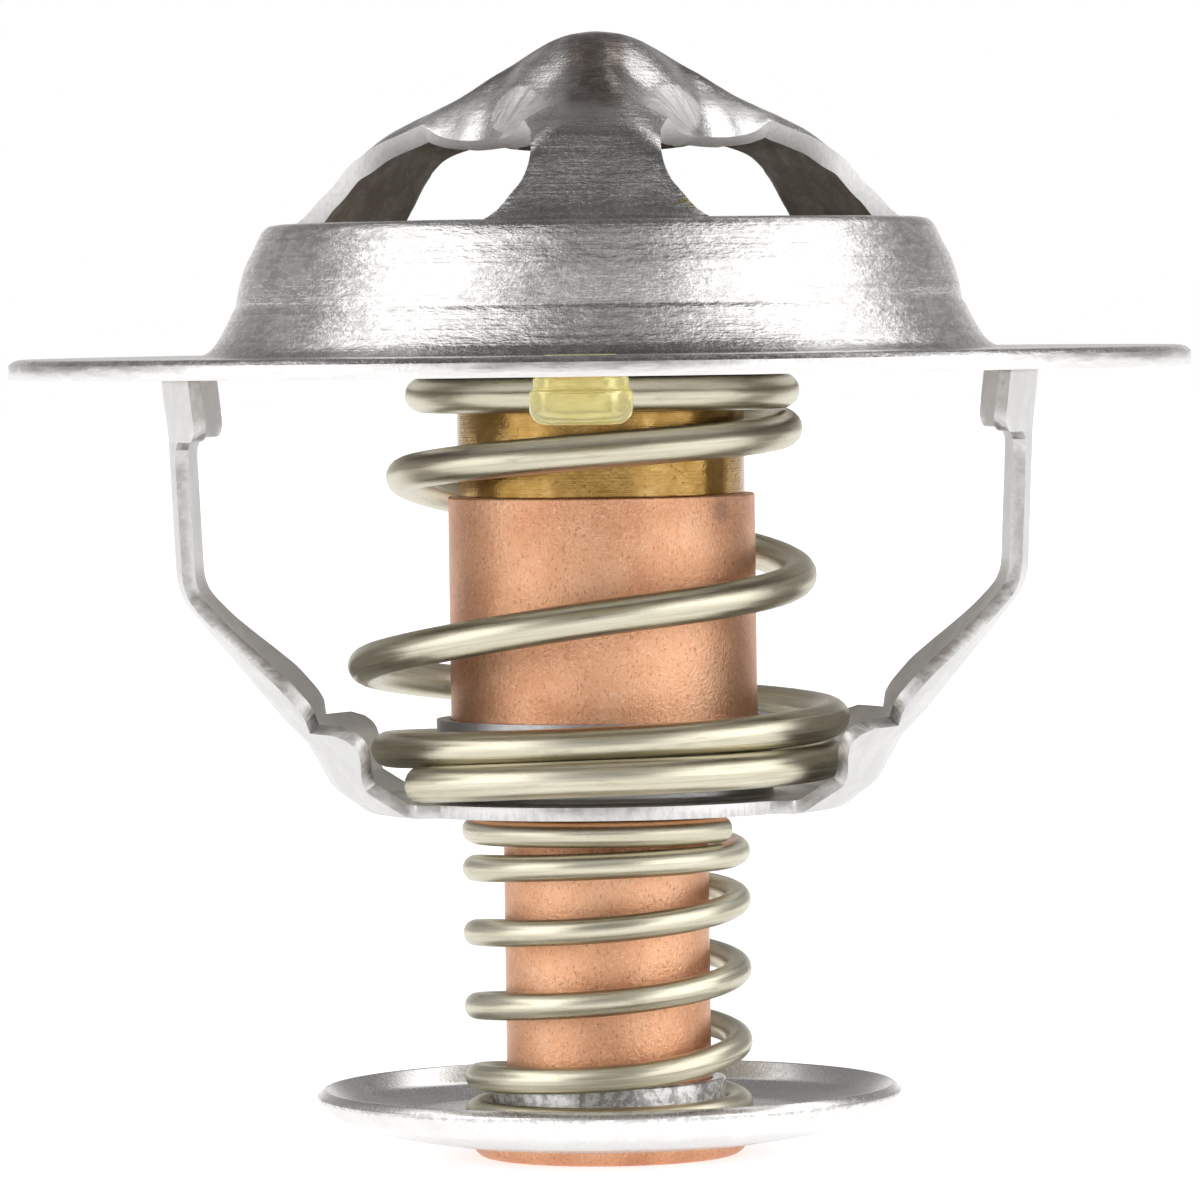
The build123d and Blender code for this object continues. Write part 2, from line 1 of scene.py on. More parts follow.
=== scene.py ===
"""Looks of the engine thermostat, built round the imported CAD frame.

Lengths are in millimetres until a mesh is made. The origin is on the axis, in the plane of the flange's upper
face, and one bridge leg is on the -Y side.
"""

import math
from contextlib import contextmanager

import bmesh
import bpy
import numpy as np
from mathutils import Matrix, Vector


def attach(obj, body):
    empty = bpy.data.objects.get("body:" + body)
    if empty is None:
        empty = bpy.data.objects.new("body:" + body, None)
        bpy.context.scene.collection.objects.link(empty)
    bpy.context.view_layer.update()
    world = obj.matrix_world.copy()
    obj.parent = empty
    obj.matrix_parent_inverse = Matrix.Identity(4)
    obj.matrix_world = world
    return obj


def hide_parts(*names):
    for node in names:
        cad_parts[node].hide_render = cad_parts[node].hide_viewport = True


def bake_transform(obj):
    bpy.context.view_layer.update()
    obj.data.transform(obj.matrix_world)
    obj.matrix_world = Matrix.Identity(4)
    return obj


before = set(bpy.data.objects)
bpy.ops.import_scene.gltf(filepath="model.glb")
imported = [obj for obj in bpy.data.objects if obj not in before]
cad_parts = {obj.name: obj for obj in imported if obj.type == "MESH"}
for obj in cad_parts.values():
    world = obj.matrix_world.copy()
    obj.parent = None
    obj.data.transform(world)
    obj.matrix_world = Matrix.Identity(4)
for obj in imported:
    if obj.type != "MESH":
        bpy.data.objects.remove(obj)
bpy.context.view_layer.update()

MM = 0.001

# Flange, cup and bridge
FLANGE_R = 27.0
FLANGE_SHEET = 0.9
LEG_TURNS = (-90.0, 30.0, 150.0)
WINDOW_R = 14.2             # outer edge of the windows, where the legs meet the cup
CUP_TOP = 6.0

# Lower yoke
YOKE_SHEET = 0.6
YOKE_TOP = -0.9
PAN_FLOOR = -20.9
PAN_DISC_R = 9.8
COLLAR_R, COLLAR_TOP = 7.09, -16.7

# Wax element and piston
ELEMENT_R, ELEMENT_TOP, ELEMENT_SHOULDER = 7.02, -6.5, -21.1
ELEMENT_BORE_R = 6.22
STEM_R, STEM_BORE_R, STEM_FLOOR = 4.69, 3.94, -35.6
HEAD_R, HEAD_TOP, HEAD_UNDERSIDE = 6.3, -35.95, -36.8
GUIDE_R, GUIDE_BOTTOM, GUIDE_TOP = 6.57, -8.5, 4.2
GUIDE_NECK_R = 5.6
WIPER_R, WIPER_BOTTOM, WIPER_TOP = 3.1, 2.6, 3.9
PIN_R, PIN_BOTTOM, PIN_TOP = 1.9, -17.9, 13.74
PIN_BORE_R = 1.95

# Valves and vent plug
PLATE_BOTTOM, PLATE_SHEET = -1.0, 0.8
SEAL_INNER_R, SEAL_OUTER_R = 13.98, 16.46
DISC_R, DISC_BORE_R, DISC_SHEET = 13.45, 4.76, 0.6
PLUG_X, PLUG_Y = -0.743, -22.388
PLUG_R = 2.24

# Springs: centre-line radius and share of the height at each quarter turn, clockwise from +X at the top
MAIN_WIRE, MAIN_START, MAIN_TURNS, MAIN_TRAVEL = 1.65, 0.0, 4.4, 8.0
MAIN_RADII = (8.3, 8.3, 8.1, 8.2, 8.42, 8.7, 9.04, 9.1, 9.0, 9.7, 10.9, 10.8, 10.43, 9.65, 9.9, 10.2, 10.3,
              10.6, 10.25)
MAIN_DROPS = (0.0, 0.0, 0.001, 0.0315, 0.097, 0.143, 0.214, 0.35, 0.478, 0.566, 0.704, 0.81, 0.852, 0.889,
              0.92, 0.946, 0.957, 0.971, 1.016)
BYPASS_WIRE, BYPASS_START, BYPASS_TURNS, BYPASS_TRAVEL = 1.23, 28.0, 5.48, 5.5
BYPASS_RADIUS = 5.995
BYPASS_DROPS = (0.0, 0.0, 0.005, 0.044, 0.09, 0.11, 0.141, 0.199, 0.261, 0.331, 0.369, 0.428, 0.506, 0.586,
                0.628, 0.679, 0.762, 0.851, 0.878, 0.93, 0.984, 1.0, 1.0)

# Photograph
PHOTO_PIXELS = 1200.0
FOCAL_PIXELS = 8412.0


# ---- shader nodes

class Nodes:
    """Short calls for building one node tree."""

    def __init__(self, tree):
        self.tree = tree
        tree.nodes.clear()

    def add(self, kind, settings=None, **inputs):
        made = self.tree.nodes.new(kind)
        for key, value in (settings or {}).items():
            setattr(made, key, value)
        for key, value in inputs.items():
            self.feed(made, key.replace("_", " "), value)
        return made

    def feed(self, made, key, value):
        socket = made.inputs[key]
        if isinstance(value, bpy.types.NodeSocket):
            self.tree.links.new(value, socket)
        else:
            socket.default_value = value

    def math(self, operation, first, second=0.0):
        made = self.add("ShaderNodeMath", {"operation": operation})
        self.feed(made, 0, first)
        self.feed(made, 1, second)
        return made.outputs[0]

    def plus(self, first, second):
        return self.math("ADD", first, second)

    def minus(self, first, second):
        return self.math("SUBTRACT", first, second)

    def times(self, first, second):
        return self.math("MULTIPLY", first, second)

    def most(self, first, second):
        return self.math("MAXIMUM", first, second)

    def scaled(self, vector, factors):
        made = self.add("ShaderNodeVectorMath", {"operation": "MULTIPLY"})
        self.feed(made, 0, vector)
        self.feed(made, 1, factors)
        return made.outputs[0]

    def parts(self, vector):
        """X, Y and Z of a vector."""
        return self.add("ShaderNodeSeparateXYZ", Vector=vector).outputs

    def length(self, vector):
        made = self.add("ShaderNodeVectorMath", {"operation": "LENGTH"})
        self.feed(made, 0, vector)
        return made.outputs["Value"]

    def axis_distance(self, vector):
        x, y, _ = self.parts(vector)
        return self.length(self.add("ShaderNodeCombineXYZ", X=x, Y=y).outputs[0])

    def off_centre(self, vector, centre, radii):
        """0 at a point and 1 on the ellipsoid round it."""
        offset = self.add("ShaderNodeVectorMath", {"operation": "SUBTRACT"})
        self.feed(offset, 0, vector)
        self.feed(offset, 1, centre)
        return self.length(self.scaled(offset.outputs[0], tuple(1.0 / radius for radius in radii)))

    def noise(self, vector, scale, detail, roughness, factors=None):
        if factors:
            vector = self.scaled(vector, factors)
        made = self.add("ShaderNodeTexNoise", Vector=vector, Scale=scale, Detail=detail,
                        Roughness=roughness)
        return made.outputs["Fac"]

    def ramp(self, value, *stops):
        """Number or colour read from (place, value) stops."""
        made = self.add("ShaderNodeValToRGB", Fac=value)
        elements = made.color_ramp.elements
        while len(elements) < len(stops):
            elements.new(0.5)
        for element, (place, shade) in zip(elements, stops):
            element.position = place
            element.color = (*shade, 1.0) if isinstance(shade, tuple) else (shade, shade, shade, 1.0)
        return made.outputs["Color"]

    def remap(self, value, low, high, new_low=0.0, new_high=1.0):
        made = self.add("ShaderNodeMapRange", {"interpolation_type": "SMOOTHSTEP"}, Value=value)
        limits = {"From Min": low, "From Max": high, "To Min": new_low, "To Max": new_high}
        for key, number in limits.items():
            made.inputs[key].default_value = number
        return made.outputs["Result"]

    def mix(self, share, first, second):
        made = self.add("ShaderNodeMix", {"data_type": "RGBA"})
        for index, value in ((0, share), (6, first), (7, second)):
            if isinstance(value, tuple):
                value = (*value, 1.0)
            self.feed(made, index, value)
        return made.outputs[2]

    def bump(self, height, strength, distance, normal=None):
        made = self.add("ShaderNodeBump", Height=height, Strength=strength, Distance=distance * MM)
        if normal is not None:
            self.feed(made, "Normal", normal)
        return made.outputs["Normal"]


def new_material(name, along_wire=False):
    """A material and its coordinates in millimetres: the object's, or along a wire and round it."""
    material = bpy.data.materials.new(name)
    material.use_nodes = True
    nodes = Nodes(material.node_tree)
    output = nodes.add("ShaderNodeOutputMaterial")
    shader = nodes.add("ShaderNodeBsdfPrincipled")
    nodes.tree.links.new(shader.outputs[0], output.inputs["Surface"])
    if along_wire:
        place = nodes.add("ShaderNodeUVMap", {"uv_map": "wire"}).outputs["UV"]
    else:
        metres = nodes.add("ShaderNodeTexCoord").outputs["Object"]
        place = nodes.scaled(metres, (1000.0, 1000.0, 1000.0))
    return material, nodes, shader, place


def finish(nodes, shader, colour, roughness, normal, metallic=1.0):
    """Wires up the sockets that every material has."""
    nodes.feed(shader, "Base Color", colour)
    nodes.feed(shader, "Roughness", roughness)
    nodes.feed(shader, "Normal", normal)
    shader.inputs["Metallic"].default_value = metallic


def sheet_steel(name, pale, dark, roughness, grain):
    """Satin stainless sheet with a fine mottled grain. Returns what its variants build on as well."""
    material, nodes, shader, place = new_material(name)
    cloud = nodes.noise(place, 0.6, 4.0, 0.6)
    fine = nodes.noise(place, 5.5, 4.0, 0.7)
    colour = nodes.mix(nodes.remap(cloud, 0.35, 0.68), dark, pale)
    colour = nodes.mix(nodes.remap(fine, 0.4, 0.75, 0.0, 0.3), colour, (0.93, 0.92, 0.91))
    rough = nodes.remap(fine, 0.3, 0.7, roughness - 0.06, roughness + 0.09)
    normal = nodes.bump(fine, 1.0, grain)
    finish(nodes, shader, colour, rough, normal)
    return material, nodes, shader, place, (colour, rough, normal)


def leg_masks(nodes, x, y):
    """1 along the legs' crests, and 1 along the pressed lips on both sides of them, where highlights are
    painted.
    """
    crests, flanks = 0.0, 0.0
    for turn in LEG_TURNS:
        cos, sin = math.cos(math.radians(turn)), math.sin(math.radians(turn))
        along = nodes.plus(nodes.times(x, cos), nodes.times(y, sin))
        across = nodes.math("ABSOLUTE", nodes.minus(nodes.times(y, cos), nodes.times(x, sin)))
        crest = nodes.times(nodes.remap(across, 1.0, 1.7, 1.0, 0.0), nodes.remap(along, -0.6, 0.4))
        crests = nodes.most(crests, crest)
        flank = nodes.times(nodes.remap(across, 1.6, 2.6), nodes.remap(along, 3.0, 4.5))
        flank = nodes.times(flank, nodes.remap(along, 6.5, 8.5, 1.0, 0.0))
        flanks = nodes.most(flanks, flank)
    return crests, flanks


def pressed_steel(name):
    """The flange, cup and bridge, with draw rings, browned crests and two scraped patches, and painted light:
    painted highlights on the lips, painted reflections and shade streaking the cup, and a painted yellow
    reflection at one leg's foot.
    """
    material, nodes, shader, place, (colour, rough, normal) = sheet_steel(
        name, (0.76, 0.75, 0.745), (0.58, 0.57, 0.565), 0.2, 0.013)
    dull, bright = (0.42, 0.41, 0.405), (0.96, 0.95, 0.945)
    x, y, height = nodes.parts(place)

    rings = nodes.noise(place, 1.0, 3.0, 0.65, factors=(0.03, 0.03, 3.0))
    normal = nodes.bump(rings, 0.8, 0.05, normal)
    colour = nodes.mix(nodes.remap(rings, 0.54, 0.62, 0.0, 0.4), colour, dull)
    streaks = nodes.noise(place, 1.0, 3.0, 0.65, factors=(1.3, 1.3, 4.5))
    normal = nodes.bump(streaks, 0.8, 0.05, normal)
    # Painted light: bright colour streaks are painted reflections and dull ones are painted shade, strongest
    # below the cup's top. The streaks also bump the surface.
    on_cup = nodes.remap(height, 5.6, 6.4, 1.0, 0.35)
    colour = nodes.mix(nodes.times(on_cup, nodes.remap(streaks, 0.5, 0.66, 0.0, 0.6)), colour, bright)
    colour = nodes.mix(nodes.times(on_cup, nodes.remap(streaks, 0.36, 0.5, 0.4, 0.0)), colour, dull)
    glints = nodes.noise(place, 1.0, 3.0, 0.7, factors=(3.5, 3.5, 9.0))
    normal = nodes.bump(glints, 0.8, 0.03, normal)

    stain_and_sheen_noise = nodes.noise(place, 1.4, 4.0, 0.6)
    crests, flanks = leg_masks(nodes, x, y)
    browned = nodes.times(crests, nodes.remap(height, 10.4, 11.5))
    browned = nodes.times(browned, nodes.remap(stain_and_sheen_noise, 0.35, 0.6, 0.75, 1.0))
    colour = nodes.mix(browned, colour, (0.26, 0.215, 0.19))
    # Painted highlights: the lips beside the crests are painted near white in place of the bright reflections
    # along them. Their roughness is real.
    flanks = nodes.times(flanks, nodes.remap(height, 9.2, 9.6))
    flanks = nodes.times(flanks, nodes.remap(stain_and_sheen_noise, 0.35, 0.6, 0.7, 1.0))
    colour = nodes.mix(flanks, colour, (0.96, 0.955, 0.95))
    rough = nodes.plus(rough, nodes.times(flanks, 0.2))

    for side in (-1.0, 1.0):
        sideways = nodes.plus(nodes.times(x, 0.5), nodes.times(y, 0.866 * side))
        scrape = nodes.add("ShaderNodeCombineXYZ", X=sideways, Z=height)
        lines = nodes.noise(scrape.outputs[0], 1.0, 2.0, 0.7, factors=(9.0, 0.0, 0.3))
        away = nodes.off_centre(place, (side * 3.2, -2.2, 10.8), (1.6, 2.7, 1.5))
        ragged = nodes.plus(away, nodes.remap(lines, 0.3, 0.7, -0.1, 0.1))
        worn = nodes.remap(ragged, 0.9, 0.98, 1.0, 0.0)
        lines_shown = nodes.remap(lines, 0.35, 0.65)
        colour = nodes.mix(worn, colour, nodes.mix(lines_shown, (0.55, 0.54, 0.53), (0.98, 0.97, 0.95)))
        rough = nodes.plus(rough, nodes.times(worn, 0.25))
        normal = nodes.bump(nodes.times(lines, worn), 0.8, 0.05, normal)

    # Painted reflection: a yellow tint on the right side of the front leg's foot stands for the reflection of
    # a yellow thing.
    away = nodes.off_centre(place, (4.4, -12.6, 6.5), (0.9, 1.2, 0.45))
    ragged = nodes.plus(away, nodes.remap(stain_and_sheen_noise, 0.3, 0.7, -0.5, 0.5))
    colour = nodes.mix(nodes.remap(ragged, 0.6, 1.0, 0.85, 0.0), colour, (0.45, 0.4, 0.12))
    finish(nodes, shader, colour, rough, normal)
    return material


def darker_brown_steel(name):
    """Inside of the cup and the bridge: a darker, browner copy of the sheet steel, with brown blotches."""
    material, nodes, shader, place, (colour, _, _) = sheet_steel(
        name, (0.42, 0.38, 0.33), (0.27, 0.24, 0.21), 0.48, 0.02)
    stain = nodes.remap(nodes.noise(place, 1.1, 3.0, 0.6), 0.4, 0.65, 0.2, 0.8)
    nodes.feed(shader, "Base Color", nodes.mix(stain, colour, (0.28, 0.235, 0.18)))
    return material


def yoke_steel(name):
    """The lower yoke, bright but for its drawn collar, which is painted dark as shade."""
    material, nodes, shader, place, (colour, _, _) = sheet_steel(
        name, (0.8, 0.8, 0.795), (0.72, 0.72, 0.715), 0.4, 0.012)
    # Painted shade: the collar round the copper, inside the spring, is darkened.
    collar = nodes.remap(nodes.axis_distance(place), 8.0, 8.6, 0.85, 0.0)
    nodes.feed(shader, "Base Color", nodes.mix(collar, colour, (0.36, 0.36, 0.37)))
    return material


def cut_steel(name, pale, dark, along, roughness=0.42, metallic=1.0):
    """Sheared edge of a sheet. along gives how fine its lines are in each direction."""
    material, nodes, shader, place = new_material(name)
    lines = nodes.noise(place, 1.0, 3.0, 0.6, factors=along)
    grain = nodes.noise(place, 5.0, 3.0, 0.6)
    colour = nodes.mix(nodes.remap(lines, 0.35, 0.65), dark, pale)
    colour = nodes.mix(nodes.remap(grain, 0.5, 0.75, 0.0, 0.35), colour, dark)
    rough = nodes.remap(lines, 0.3, 0.7, roughness - 0.08, roughness + 0.08)
    finish(nodes, shader, colour, rough, nodes.bump(nodes.plus(lines, grain), 0.8, 0.02), metallic)
    return material, nodes, shader, place, colour


def rolled_rim(name):
    """Blanked rim of the flange, with painted shade: its rolled upper edge is painted darker than its sheared
    lower one, for the shading of the rounded edge.
    """
    material, nodes, shader, place, colour = cut_steel(
        name, (0.92, 0.915, 0.91), (0.8, 0.795, 0.79), (0.5, 0.5, 4.0), 0.36)
    wander = nodes.remap(nodes.noise(place, 0.35, 3.0, 0.6), 0.3, 0.7, -0.22, 0.22)
    edge = nodes.plus(nodes.parts(place)["Z"], wander)
    # Painted shade, darker towards the top of the rim.
    painted_top_shade = nodes.mix(nodes.remap(edge, -0.6, -0.25, 0.0, 0.45), colour, (0.4, 0.395, 0.39))
    nodes.feed(shader, "Base Color", painted_top_shade)
    return material


def drawn_wire(name):
    """Spring wire, with draw lines along it."""
    material, nodes, shader, place = new_material(name, along_wire=True)
    streaks = nodes.noise(place, 1.0, 4.0, 0.65, factors=(0.14, 5.0, 1.0))
    marks = nodes.noise(place, 1.0, 3.0, 0.6, factors=(0.5, 2.5, 1.0))
    grain = nodes.noise(place, 7.0, 3.0, 0.65)
    colour = nodes.ramp(streaks, (0.34, (0.55, 0.51, 0.395)), (0.54, (0.7, 0.665, 0.53)),
                        (0.7, (0.8, 0.765, 0.64)))
    colour = nodes.mix(nodes.remap(marks, 0.58, 0.74, 0.0, 0.45), colour, (0.36, 0.335, 0.25))
    colour = nodes.mix(nodes.remap(grain, 0.58, 0.75, 0.0, 0.35), colour, (0.34, 0.32, 0.25))
    normal = nodes.bump(streaks, 0.6, 0.014)
    normal = nodes.bump(grain, 0.6, 0.01, normal)
    finish(nodes, shader, colour, nodes.remap(streaks, 0.3, 0.7, 0.27, 0.38), normal)
    return material


def tumbled_copper(name):
    """Matt copper with fine dents, pale flecks painted as glints, and a few darker patches."""
    material, nodes, shader, place = new_material(name)
    cloud = nodes.noise(place, 0.35, 4.0, 0.6)
    dents_and_glints = nodes.noise(place, 5.5, 4.0, 0.75)
    nicks = nodes.noise(place, 1.0, 3.0, 0.7, factors=(8.0, 8.0, 4.5))
    colour = nodes.ramp(cloud, (0.3, (0.7, 0.34, 0.19)), (0.52, (0.82, 0.44, 0.26)),
                        (0.72, (0.88, 0.51, 0.32)))
    # Painted glints: pale flecks where the dents noise is high.
    colour = nodes.mix(nodes.remap(dents_and_glints, 0.54, 0.7, 0.0, 0.75), colour, (0.98, 0.72, 0.55))
    colour = nodes.mix(nodes.remap(nicks, 0.54, 0.68, 0.0, 0.7), colour, (0.44, 0.2, 0.11))
    spot = nodes.off_centre(place, (5.4, -4.5, -7.2), (0.7, 0.9, 0.8))
    colour = nodes.mix(nodes.remap(spot, 0.3, 1.1, 0.6, 0.0), colour, (0.36, 0.19, 0.15))
    normal = nodes.bump(dents_and_glints, 1.0, 0.045)
    normal = nodes.bump(nicks, 0.6, 0.02, normal)
    finish(nodes, shader, colour, nodes.remap(dents_and_glints, 0.3, 0.7, 0.27, 0.42), normal)
    return material


def turned_brass(name):
    """Machined brass, slightly tarnished, with marks down its side."""
    material, nodes, shader, place = new_material(name)
    cloud = nodes.noise(place, 0.6, 4.0, 0.65)
    rubs = nodes.noise(place, 1.0, 3.0, 0.6, factors=(1.2, 1.2, 0.25))
    turning = nodes.noise(place, 1.0, 2.0, 0.5, factors=(0.02, 0.02, 14.0))
    pits = nodes.noise(place, 3.6, 3.0, 0.65)
    colour = nodes.ramp(cloud, (0.3, (0.28, 0.16, 0.04)), (0.5, (0.38, 0.23, 0.07)),
                        (0.72, (0.54, 0.35, 0.14)))
    colour = nodes.mix(nodes.remap(rubs, 0.5, 0.7, 0.0, 0.5), colour, (0.36, 0.2, 0.05))
    colour = nodes.mix(nodes.remap(pits, 0.62, 0.7, 0.0, 0.85), colour, (0.2, 0.12, 0.04))
    normal = nodes.bump(turning, 0.5, 0.01)
    normal = nodes.bump(pits, 0.6, 0.02, normal)
    finish(nodes, shader, colour, nodes.remap(rubs, 0.3, 0.7, 0.13, 0.24), normal)
    return material


def ground_steel(name):
    """Polished piston, with fine grinding rings."""
    material, nodes, shader, place = new_material(name)
    rings = nodes.noise(place, 1.0, 3.0, 0.6, factors=(0.1, 0.1, 18.0))
    colour = nodes.ramp(rings, (0.3, (0.6, 0.59, 0.58)), (0.7, (0.85, 0.85, 0.85)))
    finish(nodes, shader, colour, nodes.remap(rings, 0.3, 0.7, 0.14, 0.24), nodes.bump(rings, 0.3, 0.006))
    return material


def disc_steel(name):
    """The bypass disc: a drawn collar and sheared rim painted darker, and a floor rubbed matt."""
    material, nodes, shader, place, (colour, rough, _) = sheet_steel(
        name, (0.88, 0.875, 0.87), (0.8, 0.795, 0.79), 0.2, 0.005)
    radius = nodes.axis_distance(place)
    specks = nodes.noise(place, 2.2, 4.0, 0.75)
    collar = nodes.times(nodes.remap(radius, 5.5, 6.0, 1.0, 0.0), nodes.remap(specks, 0.42, 0.58, 0.25, 1.0))
    colour = nodes.mix(collar, colour, (0.34, 0.335, 0.33))
    ragged = nodes.plus(radius, nodes.remap(specks, 0.3, 0.7, -0.12, 0.12))
    rim = nodes.remap(ragged, DISC_R - 0.15, DISC_R, 0.0, 0.6)
    nodes.feed(shader, "Base Color", nodes.mix(rim, colour, (0.45, 0.44, 0.43)))
    nodes.feed(shader, "Metallic", nodes.remap(radius, 9.6, 10.4, 0.45, 1.0))
    nodes.feed(shader, "Roughness", nodes.plus(rough, nodes.times(rim, 0.25)))
    return material


def plain_mould(name, colour, dusty, roughness):
    """Rubber, wax or another dull material with a fine uneven skin."""
    material, nodes, shader, place = new_material(name)
    cloud = nodes.noise(place, 1.2, 4.0, 0.6)
    skin = nodes.noise(place, 7.0, 3.0, 0.6)
    colour = nodes.mix(nodes.remap(cloud, 0.4, 0.7), colour, dusty)
    rough = nodes.remap(skin, 0.3, 0.7, roughness - 0.1, roughness + 0.1)
    finish(nodes, shader, colour, rough, nodes.bump(skin, 0.5, 0.02), metallic=0.0)
    return material


def clear_plastic(name):
    """Yellow see-through plastic. A faint glow stands for the light that comes through it."""
    material, nodes, shader, place = new_material(name)
    cloud = nodes.noise(place, 0.9, 3.0, 0.6)
    skin = nodes.noise(place, 1.4, 3.0, 0.6)
    colour = nodes.ramp(cloud, (0.35, (0.9, 0.8, 0.3)), (0.65, (0.96, 0.9, 0.48)))
    rough = nodes.remap(skin, 0.3, 0.7, 0.1, 0.2)
    finish(nodes, shader, colour, rough, nodes.bump(skin, 0.5, 0.06), metallic=0.0)
    shader.inputs["Transmission Weight"].default_value = 0.78
    shader.inputs["IOR"].default_value = 1.45
    nodes.feed(shader, "Emission Color", colour)
    shader.inputs["Emission Strength"].default_value = 0.1
    return material


# ---- curves and meshes

def smooth_curve(places, values, start_slope=None):
    """Function that passes through measured points without overshooting them."""
    places, values = np.array(places, float), np.array(values, float)
    slopes = np.diff(values) / np.diff(places)
    tangents = np.zeros(len(places))
    for index in range(1, len(places) - 1):
        before, after = slopes[index - 1], slopes[index]
        if before * after > 0:
            tangents[index] = 2 * before * after / (before + after)
    tangents[0], tangents[-1] = slopes[0], slopes[-1]
    if start_slope is not None:
        tangents[0] = start_slope

    def read(place):
        place = min(max(place, places[0]), places[-1])
        index = int(min(np.searchsorted(places, place, side="right") - 1, len(places) - 2))
        step = places[index + 1] - places[index]
        share = (place - places[index]) / step
        square, cube = share ** 2, share ** 3
        return float(values[index] * (2 * cube - 3 * square + 1)
                     + values[index + 1] * (3 * square - 2 * cube)
                     + step * tangents[index] * (cube - 2 * square + share)
                     + step * tangents[index + 1] * (cube - square))

    return read


def rounded(points, radii, closed=False, step=math.radians(9)):
    """Line through the points, with its corners replaced by arcs of the given radii."""
    points = [np.array(p, float) for p in points]
    count = len(points)
    line = []
    for index, point in enumerate(points):
        radius = radii[index]
        if radius <= 0 or (not closed and index in (0, count - 1)):
            line.append(point)
            continue
        back = points[index - 1] - point
        ahead = points[(index + 1) % count] - point
        back, ahead = back / np.linalg.norm(back), ahead / np.linalg.norm(ahead)
        half = math.acos(max(-1.0, min(1.0, float(back @ ahead)))) / 2
        if half > math.radians(89.5):
            line.append(point)
            continue
        reach = radius / math.tan(half)
        centre = point + (back + ahead) / np.linalg.norm(back + ahead) * (radius / math.sin(half))
        first, last = point + back * reach - centre, point + ahead * reach - centre
        turn = math.pi - 2 * half
        steps = max(2, math.ceil(turn / step))
        for number in range(steps + 1):
            share = number / steps
            arc = (math.sin((1 - share) * turn) * first + math.sin(share * turn) * last) / math.sin(turn)
            line.append(centre + arc)
    return [tuple(p) for p in line]


def beside(line, distance):
    """Line that runs at a distance on the left of an open line."""
    points = np.array(line, float)
    steps = np.diff(points, axis=0)
    normals = np.stack([-steps[:, 1], steps[:, 0]], axis=1) / np.linalg.norm(steps, axis=1)[:, None]
    before = np.vstack([normals[:1], normals])
    after = np.vstack([normals, normals[-1:]])
    scale = distance / (1 + (before * after).sum(axis=1))
    return [tuple(p) for p in points + scale[:, None] * (before + after)]


def sheet_section(points, bends, thickness, edge=0.12):
    """Closed section of a formed sheet, on the left of its line, with its two ends rounded."""
    line = rounded(points, [0, *bends, 0])
    other = beside(line, thickness)
    loop = [*line, *reversed(other)]
    radii = [0.0] * len(loop)
    for corner in (0, len(line) - 1, len(line), len(loop) - 1):
        radii[corner] = edge
    return rounded(loop, radii, closed=True, step=math.radians(30))


def new_piece(name, points, faces, materials, sharp=32.0):
    mesh = bpy.data.meshes.new(name)
    mesh.from_pydata([tuple(float(c) * MM for c in p) for p in points], [], faces)
    for material in materials:
        mesh.materials.append(material)
    piece = bpy.data.objects.new(name, mesh)
    bpy.context.scene.collection.objects.link(piece)
    shade(piece, sharp)
    return piece


def shade(piece, sharp=32.0):
    """Smooth shading, with sharp edges where faces meet at more than an angle."""
    mesh = piece.data
    mesh.polygons.foreach_set("use_smooth", [True] * len(mesh.polygons))
    mesh.set_sharp_from_angle(angle=math.radians(sharp))
    mesh.update()


def settle(piece, sharp=32.0):
    """Turns a piece's modifiers into its mesh."""
    graph = bpy.context.evaluated_depsgraph_get()
    piece.data = bpy.data.meshes.new_from_object(piece.evaluated_get(graph))
    piece.modifiers.clear()
    shade(piece, sharp)


@contextmanager
def editing(piece):
    """A piece's mesh, open for changes."""
    work = bmesh.new()
    work.from_mesh(piece.data)
    yield work
    work.to_mesh(piece.data)
    work.free()
    piece.data.update()


def weld(piece, distance):
    """Joins vertices that lie together, and removes those that carry no face."""
    with editing(piece) as work:
        bmesh.ops.remove_doubles(work, verts=work.verts, dist=distance * MM)
        loose = [vert for vert in work.verts if not vert.link_faces]
        bmesh.ops.delete(work, geom=loose, context="VERTS")


def face_outwards(piece):
    with editing(piece) as work:
        bmesh.ops.recalc_face_normals(work, faces=work.faces)


def face_one_way(piece, sign):
    """Turns a surface's faces so that its highest looks up, or, with sign -1, its lowest looks down."""
    with editing(piece) as work:
        bmesh.ops.recalc_face_normals(work, faces=work.faces)
        outermost = max(work.faces, key=lambda face: sign * face.calc_center_median().z)
        if sign * outermost.normal.z < 0:
            bmesh.ops.reverse_faces(work, faces=work.faces)


def thicken(piece, thickness, edge):
    """Gives a surface its sheet thickness and rounds the edges of its cuts."""
    solid = piece.modifiers.new("sheet", "SOLIDIFY")
    solid.thickness = thickness * MM
    solid.offset = -1.0
    solid.use_even_offset = True
    solid.use_quality_normals = True
    solid.material_offset = 1
    solid.material_offset_rim = 2
    bevel = piece.modifiers.new("edges", "BEVEL")
    bevel.width = edge * MM
    bevel.segments = 2
    bevel.limit_method = "ANGLE"
    bevel.angle_limit = math.radians(50)
    bevel.use_clamp_overlap = True
    settle(piece)


def quads(start, rows, columns, closed=True):
    """Faces between neighbouring rows of points, row by row."""
    width = columns if closed else columns + 1
    faces = []
    for row in range(rows - 1):
        for column in range(columns):
            corner, ahead = start + row * width + column, start + row * width + (column + 1) % width
            faces.append((corner, ahead, ahead + width, corner + width))
    return faces


def add_rings(points, faces, line, angles):
    """Adds a line of (distance from the axis, height), turned through the angles."""
    start = len(points)
    for r, z in line:
        points += [(r * math.cos(angle), r * math.sin(angle), z) for angle in angles]
    faces += quads(start, len(line), len(angles))


